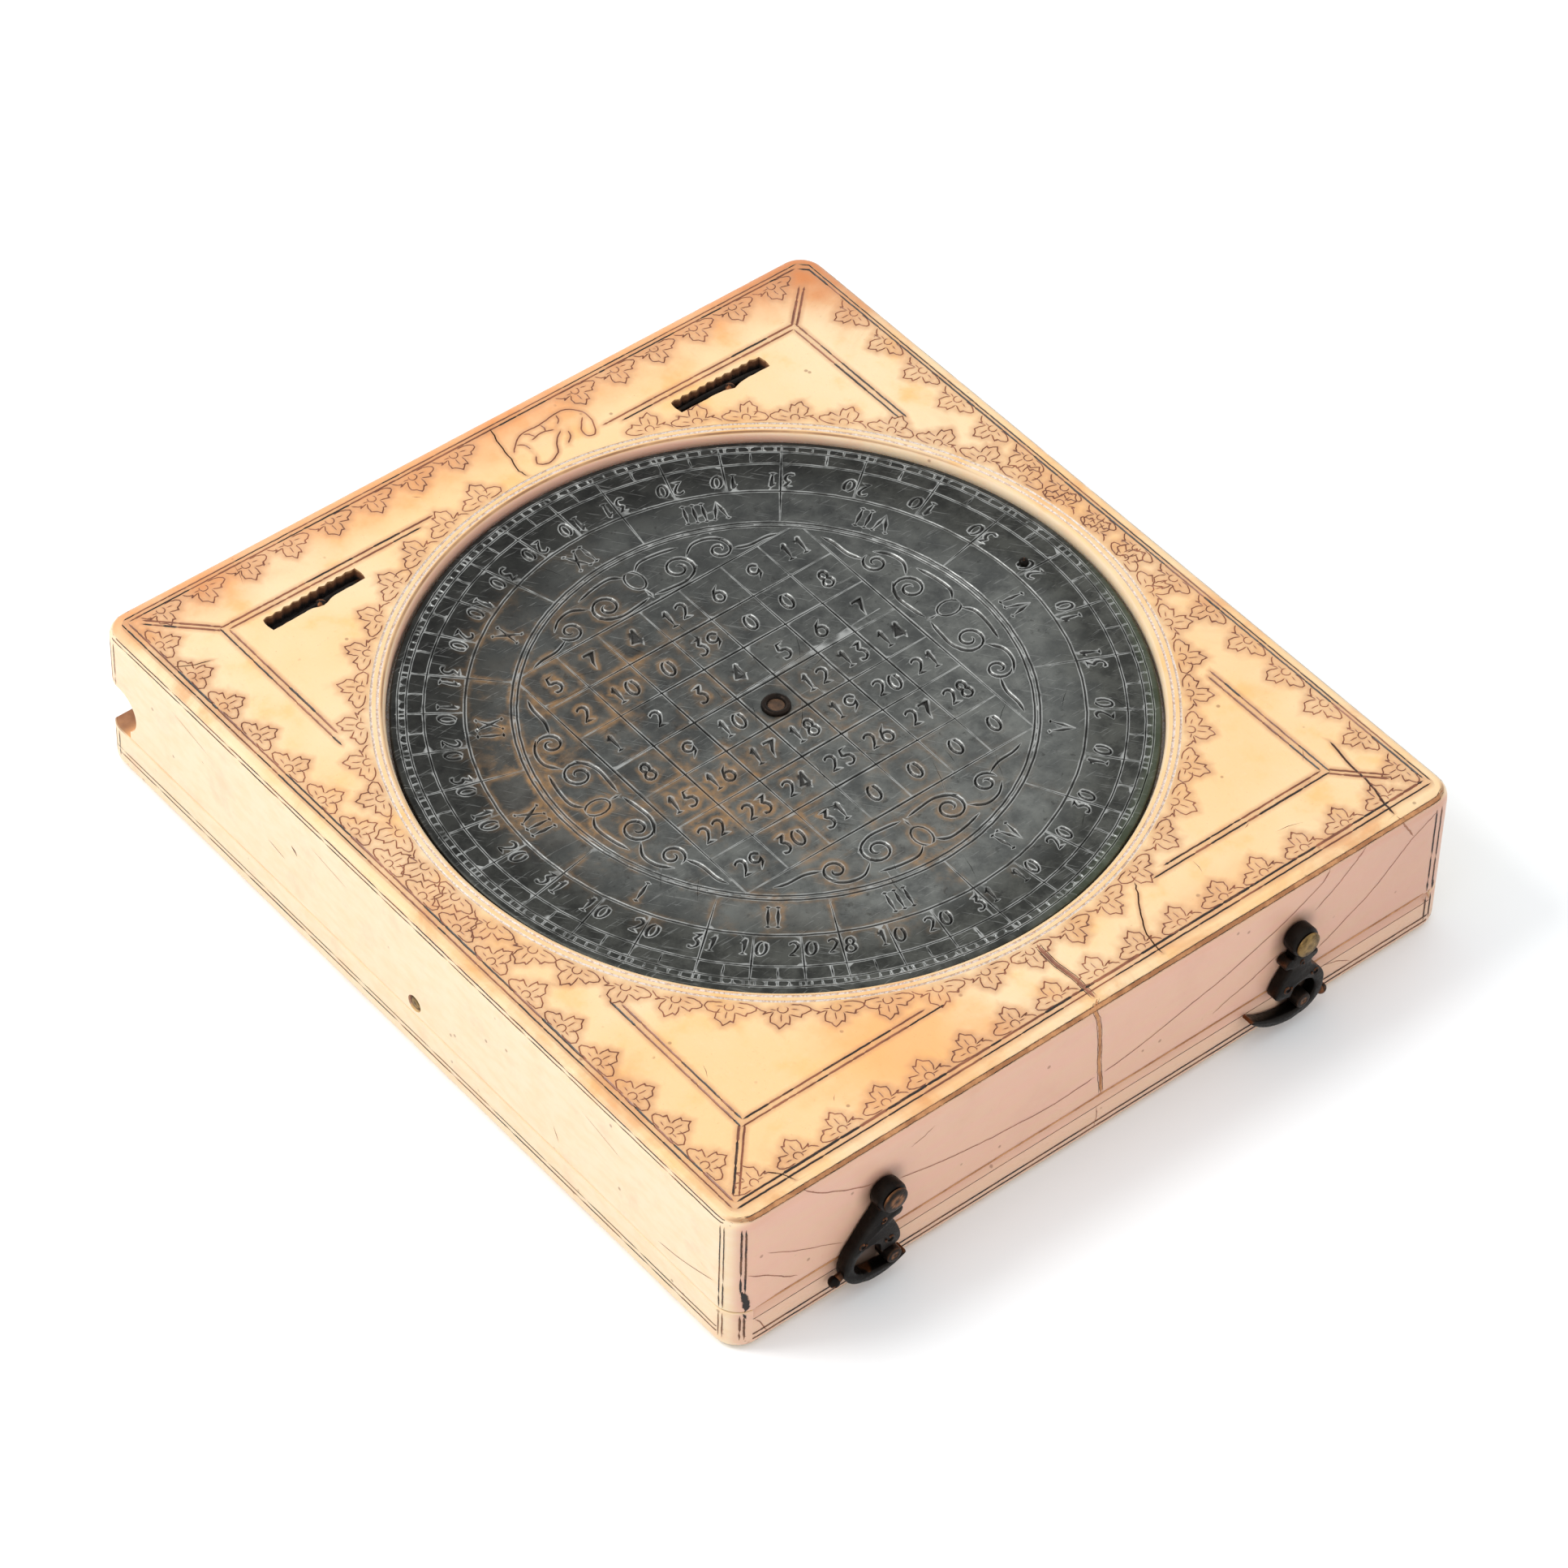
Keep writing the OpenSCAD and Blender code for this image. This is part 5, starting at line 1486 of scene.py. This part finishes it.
def lid_outer_face():
    """Hour lines and Roman numerals round the socket of the pin, between chains of leaves."""
    slots = [ragged_slot(x, UPPER_SLOT_Y, 13 + i) for i, x in enumerate(HINGE_X)]
    back = NOSE_Y + math.sqrt(NOSE_R ** 2 - NOSE_Z ** 2)
    socket_r = 1.95

    def inside(x, y):
        return (in_outline(x, y, EDGE) and y < back and math.dist((x, y), LUNAR) > socket_r - .002
                and not any(in_poly(x, y, s) for s in slots))

    cuts = rect_lines((1.3, 1.65), .085, 34.2) + rings((10.5, 10.9, 21.5, 21.9, 25.6, 26.0), LUNAR, .08)
    for k in range(24):
        a = 2 * math.pi * k / 24 + math.pi / 2
        cuts.append(Cut(spoke(LUNAR, math.pi - a, 10.9, 16, 21.5), .07, .06, taper=.3))
        for c in roman(HOURS[(k + 11) % 12], polar((0, 0), 23.8, a), 2.1, a - math.pi / 2, .1):
            c.p = [(LUNAR[0] - x, LUNAR[1] + y) for x, y in c.p]
            cuts.append(c)
    for i in range(15):
        cuts += put_leaf((-29.4 + 58.8 * i / 14, -34.7), 90, 1.05)
    for x, ang in ((HW - 1.8, 180), (1.8 - HW, 0)):
        for y in (-29 + 56 * i / 14 for i in range(15)):
            if abs(y - LUNAR[1]) > 9:
                cuts += put_leaf((x, y), ang, 1.05)
    edge = cut_off(outline(EDGE), lambda x: -HL, back)
    engraved("lid_outer_face", edge, [ring(socket_r, 48, LUNAR)] + slots, inside, cuts, 0.0, -1, IVORY_INK,
             "upper_leaf")
    for side, s in zip(("left", "right"), slots):
        slot_walls("lid_slot_" + side, s, 0.0, SLOT_D, "upper_leaf")


def lunar_disc():
    z, r_in, r_out = LUNAR_TOP, 1.2, 18.8
    cuts = rings((18.2, 15.2, 15.0, 9.6), LUNAR, .06, .07, 180, .3)
    day = 2 * math.pi / 29
    for k in range(29):
        cuts.append(Cut(spoke(LUNAR, day * k, 15.2, 16.6, 18.2), .05, .06, taper=.15))
        mid = day * (k + .5)
        for s in number(str(k + 1), polar(LUNAR, 16.7, mid), 1.5, mid - math.pi / 2):
            cuts.append(Cut(s, .08, .08, halo=.3, taper=.1))
    for k in range(8):
        a = 2 * math.pi * k / 8 + .2
        for s in (-1, 1):
            ray = [polar(LUNAR, r, a + s * t) for r, t in ((14.6, 0), (9.5, .1), (4.2, .39))]
            cuts.append(Cut(ray, .07, .07, halo=.3, taper=.4))
    engraved("lunar_disc_face", ring(r_out, 200, LUNAR), [ring(r_in, 40, LUNAR)],
             lambda x, y: r_in < math.dist((x, y), LUNAR) < r_out, cuts, z, 1, PEWTER_LUNAR, "lunar_disc",
             replaces=("lunar_disc",))
    rim = revolve([(r_out, z), (18.93, z - .04), (LUNAR_R, z - .15), (LUNAR_R, 2.85), (18.9, 2.75),
                   (r_in, 2.75)], 200, LUNAR)
    piece("lunar_disc_rim", rim, PEWTER_PLAIN, "lunar_disc", 30)
    eyelet = revolve([(.67, .02), (1.75, .03), (1.9, .12), (1.9, .48), (1.15, .5), (1.15, 3.7), (1.9, 3.72),
                      (1.9, 3.82), (1.75, 3.89), (.5, 3.88), (.001, 3.86)], 56, LUNAR)
    bore = revolve([(.001, 2.9), (.67, 2.9), (.67, .02)], 56, LUNAR)
    piece("eyelet_turned", join(eyelet, bore), BRASS, "upper_leaf", 45, replaces=("lunar_eyelet",))


# Hinges: where the lower wires lie in their slots, and the knobs on them, measured on the face
WIRE_RUNS = {"left": ((-23.2, 28.2), (-21.2, 28.26), (-19.2, 28.34), (-17.2, 28.52), (-15.3, 28.75)),
             "right": ((14.2, 28.6), (16.2, 28.42), (18.2, 28.3), (20.3, 28.28), (22.2, 28.3))}
WIRE_KNOBS = {"left": (-19.05, 28.3), "right": (18.75, 28.02)}
WIRE_R, EYE_R = .24, .8
LOWER_LEG_Z, UPPER_LEG_ANGLE = 12.4, 250


def wire_eye(c, u, v, a0, a1):
    """A round eye of wire about c, in the plane of u and v."""
    turns = (math.radians(a0 + (a1 - a0) * i / 32) for i in range(33))
    return sweep([c + (u * math.cos(t) + v * math.sin(t)) * EYE_R for t in turns], WIRE_R + .01)


def hinge(x, side):
    axis = Vector((x, HINGE_Y, HINGE_Z))
    X, Y, Z = Vector((1, 0, 0)), Vector((0, 1, 0)), Vector((0, 0, 1))
    leg = Vector((0, SLOT_Y - HINGE_Y, LOWER_LEG_Z - HINGE_Z)).normalized()
    thick = [WIRE_R, WIRE_R, WIRE_R, .27]
    # lower eye: in the plane of X and its leg, its far side on the hinge axis
    parts = [wire_eye(axis + leg * EYE_R, X, leg, 110, 430)]
    run = WIRE_RUNS[side]
    foot = Vector((x, run[2][1], TOP_Z - SLOT_D + .35))
    for s in (X * -1, X):
        parts.append(sweep([axis + leg * 1.55 + s * .22, axis + leg * 2.4 + s * .21, foot + s * .2 - leg,
                            foot + s * .12 + Z * .22], thick, 10))
    bed = smooth_path(run, 4)
    bow = [2 * i / (len(bed) - 1) - 1 for i in range(len(bed))]
    parts.append(sweep([(px, py, TOP_Z - .44 - .2 * t * t) for (px, py), t in zip(bed, bow)],
                       [.31 - .14 * abs(t) ** 3 for t in bow]))
    parts.append(ball((*WIRE_KNOBS[side], TOP_Z - .5), .5, 20))
    piece("hinge_lower_" + side, join(*parts), BRONZE, "lower_leaf", 50,
          replaces=("hinge_wire_%s_lower" % side,))
    # upper eye, linked through the lower one, and its legs down to the lid's slot
    leg = Vector((0, *polar((0, 0), 1, math.radians(UPPER_LEG_ANGLE))))
    parts = [wire_eye(axis, Y, Z, UPPER_LEG_ANGLE + 20, UPPER_LEG_ANGLE + 340)]
    foot = Vector((x, UPPER_SLOT_Y, SLOT_D - .3))
    for s in (-1, 1):
        parts.append(sweep([axis + leg * .78 + Y * (s * .2), axis + leg * 1.6 + Y * (s * .2),
                            foot - leg + X * (s * .08) + Y * (s * .12), foot + X * (s * .3) - Z * .1,
                            foot + X * (s * 1.2), foot + X * (s * 3.85) + Z * .02], thick + [.3, .16], 10))
    parts.append(ball(foot - Z * .27, .5, 18))
    piece("hinge_upper_" + side, join(*parts), BRONZE, "upper_leaf", 50,
          replaces=("hinge_wire_%s_upper" % side,))


# Hooks, counted from the rivet, opening to the left
JAW_R = 7.0
EYE, EYE_OUT, EYE_IN = (.32, -5.63), 2.15, 1.27
NECK_NOTCHED = [(.68, -.9), (.72, -1.5), (1.45, -1.72), (1.5, -2.2), (1.0, -2.5), (1.15, -3.1), (1.9, -3.9),
                (2.42, -4.9), (2.42, -5.9)]
NECK_STRAIGHT = [(.68, -.9), (.95, -1.6), (1.3, -2.3), (1.62, -3.1), (2.0, -4.0), (2.36, -4.9), (2.44, -5.9)]
BEAK = [(-.75, -5.36), (-1.35, -5.16), (-2.0, -4.98), (-2.25, -4.5), (-1.95, -3.7), (-1.25, -2.75),
        (-.95, -2.35), (-1.5, -2.1), (-1.6, -1.6), (-1.1, -1.3), (-.75, -1.4), (-.68, -.9)]


def hook_shape(jaw, neck):
    """Outline of a hook: down its back, round the eye to the jaw's tip, and back through the eye."""
    steps = 12
    out = smooth_path(neck, 4)[:-1] + arc(*EYE, EYE_OUT, EYE_OUT, -8, -92, 14)
    for i in range(1, steps + 1):
        r = JAW_R + .88 * (1 - .72 * (i / steps) ** 2)
        out.append(polar((0, 0), r, math.radians(-90 - jaw * i / steps)))
    for i in range(steps, -1, -1):
        out.append(polar((0, 0), JAW_R, math.radians(-87 - (jaw + 3) * i / steps)))
    return out + arc(*EYE, EYE_IN, EYE_IN, -84, 128, 24) + smooth_path(BEAK, 4) + [(-.3, -.6), (.3, -.6)]


def thick_outline(pts, y0, y1, bevel=.14):
    """A closed outline in (x, z) given thickness from y0 out to y1, its front edge rounded."""
    loops = []
    for d, y in ((.05, y0), (0, y0 - .06), (0, y1 + bevel), (bevel * .3, y1 + bevel * .35), (bevel, y1)):
        loop = []
        for a, p, b in zip([pts[-1]] + pts, pts, pts[1:] + [pts[0]]):
            t = (Vector(b) - Vector(a)).normalized()
            loop.append((p[0] - t.y * d, y, p[1] + t.x * d))
        loops.append(loop)
    return loft(loops)


def facing_front(shape, x, z):
    """A turned shape with its axis laid along Y, its foot on the front face at (x, z)."""
    return [(p[0] + x, p[2] - HL, p[1] + z) for p in shape[0]], shape[1]


def hook(side, x, jaw, swing, neck, rivet_mat):
    """A cast hook with its rivet and the peg that it grips. The left one is mirrored."""
    face = -HL - 1.1
    boss = revolve([(.75, -.1), (1.1, -.1), (1.18, -.2), (1.2, -.5), (1.2, -1.1), (1.12, -1.28), (.98, -1.36),
                    (.75, -1.38)], 48)
    parts = [thick_outline(hook_shape(jaw, neck)[::-1], -HL - .1, face), facing_front(boss, 0, 0)]
    # raised scrolls on the plate and the finger knob
    for path, r in ((spiral((-1.2, -4.2), .1, .42, 40, 360, 12), .1),
                    (spiral((1.45, -3.95), .1, .36, 150, -190, 12), .09),
                    (spiral((0.05, -2.1), .08, .28, 0, 300, 10), .08)):
        parts.append(sweep([(px, face, pz) for px, pz in path], r, 8))
    middle = -HL - .6
    parts.append(sweep([(1.75, middle, -6.25), (2.15, middle, -6.65), (2.5, middle, -6.95)], [.34, .3, .34]))
    parts.append(ball((2.7, middle, -7.1), .45, 20))
    v, f = join(*parts)
    if side == "left":
        v, f = inside_out(([(-p[0], p[1], p[2]) for p in v], f))
    c, s = polar((0, 0), 1, math.radians(swing))
    v = [(p[0] * c + p[2] * s + x, p[1], p[2] * c - p[0] * s + RIVET_Z) for p in v]
    piece("hook_cast_" + side, (v, f), BRONZE, "hook_" + side, 42, replaces=("hook_" + side,))
    head = revolve([(.7, 4.5), (.7, -1.4), (.95, -1.4), (1.03, -1.47), (1.0, -1.58), (.82, -1.66), (.4, -1.7),
                    (.001, -1.69)], 40)
    piece("hook_rivet_head_" + side, facing_front(head, x, RIVET_Z), rivet_mat, "lower_leaf", 45,
          replaces=("hook_rivet_" + side,))
    peg = revolve([(.65, 5.0), (.65, -1.2), (.6, -1.34), (.45, -1.39), (.2, -1.36), (.001, -1.33)], 32)
    piece("catch_peg_head_" + side, facing_front(peg, x + CATCH_X, CATCH_Z), BRONZE_WORN, "upper_leaf", 45,
          replaces=("catch_peg_" + side,))


def pin_gnomon():
    v, f = revolve([(.001, .05), (.3, .06), (.5, .1), (.6, .2), (PIN_R, .35), (PIN_R, 11.6), (.12, 13.6),
                    (.001, 13.62)], 40)
    v = [(p[2] - HW, PIN_Y + p[0], PIN_Z + p[1]) for p in v]
    piece("pin_gnomon_turned", (v, f), BRASS_OLD, "pin_gnomon", replaces=("pin_gnomon",))


lower_sides()
calendar_face()
disc_recess()
calendar_disc()
calendar_fittings()
upper_sides()
lid_inner_face()
lid_outer_face()
lunar_disc()
compass_face()
compass_card()
compass_glass()
compass_needle()
hour_plate()
side_marks()
for hinge_x, name in zip(HINGE_X, ("left", "right")):
    hinge(hinge_x, name)
hook("left", RIVET_X[0], 28, 15, NECK_STRAIGHT, BRONZE_WORN)
hook("right", RIVET_X[1], 38, 0, NECK_NOTCHED, RIVET_GOLD)
pin_gnomon()

for node, mat in (("crank_plate", BRASS), ("crank_pin", BRASS), ("needle_pivot", STEEL),
                  ("hour_guide_east", BRASS), ("hour_guide_west", BRASS)):
    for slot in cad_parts[node].material_slots:
        slot.material = mat


# Floor, light and camera, in metres and degrees. Azimuth 0 is in front and -90 on the left
FLOOR_HALF, FLOOR_DROP = 3.0, 0.00002
SKY_STRENGTH = 1.1
KEY_AZ, KEY_EL, KEY_DIST, KEY_SIZE, KEY_POWER = -126, 48, 0.6, 0.25, 1.75
CAM_AZ, CAM_EL, CAM_ROLL = -40.617, 46.136, 1.813
CAM_RIGHT, CAM_UP, CAM_BACK = 1.103, 3.565, 479.701
FOCAL_PIXELS, PHOTO_WIDTH, SENSOR = 8125.33, 1932, 36


def towards(az, el):
    """Unit vector from the origin at an azimuth and elevation in degrees."""
    a, e = math.radians(az), math.radians(el)
    return Vector((math.sin(a) * math.cos(e), -math.cos(a) * math.cos(e), math.sin(e)))


def add_floor():
    s = FLOOR_HALF
    me = bpy.data.meshes.new("floor")
    me.from_pydata([(-s, -s, 0), (s, -s, 0), (s, s, 0), (-s, s, 0)], [], [(0, 1, 2, 3)])
    me.materials.append(floor_paint())
    floor = bpy.data.objects.new("floor", me)
    floor.location.z = -FLOOR_DROP
    bpy.context.scene.collection.objects.link(floor)


def add_light():
    world = bpy.data.worlds.new("studio")
    bpy.context.scene.world = world
    world.use_nodes = True
    sky = world.node_tree.nodes["Background"].inputs
    sky[0].default_value = (1, 1, 1, 1)
    sky[1].default_value = SKY_STRENGTH
    key = bpy.data.lights.new("key", "AREA")
    key.shape = "DISK"
    key.size = KEY_SIZE
    key.energy = KEY_POWER
    key.color = (1.0, 0.99, 0.97)
    o = bpy.data.objects.new("key", key)
    o.location = towards(KEY_AZ, KEY_EL) * KEY_DIST
    o.rotation_euler = (-o.location).to_track_quat("-Z", "Y").to_euler()
    bpy.context.scene.collection.objects.link(o)


def add_camera():
    data = bpy.data.cameras.new("camera")
    cam = bpy.data.objects.new("camera", data)
    bpy.context.scene.collection.objects.link(cam)
    back = towards(CAM_AZ, CAM_EL)
    level = Vector((math.cos(math.radians(CAM_AZ)), math.sin(math.radians(CAM_AZ)), 0))
    upright = back.cross(level)
    c, s = polar((0, 0), 1, math.radians(CAM_ROLL))
    right, up = level * c + upright * s, upright * c - level * s
    spot = (right * CAM_RIGHT + up * CAM_UP + back * CAM_BACK) * MM
    cam.matrix_world = Matrix.Translation(spot) @ Matrix((right, up, back)).transposed().to_4x4()
    data.sensor_width = SENSOR
    data.lens = FOCAL_PIXELS / PHOTO_WIDTH * SENSOR
    data.clip_start = 0.01
    data.clip_end = 10
    bpy.context.scene.camera = cam


add_floor()
add_light()
add_camera()
bpy.context.scene.view_settings.view_transform = "Standard"
bpy.context.scene.view_settings.look = "None"
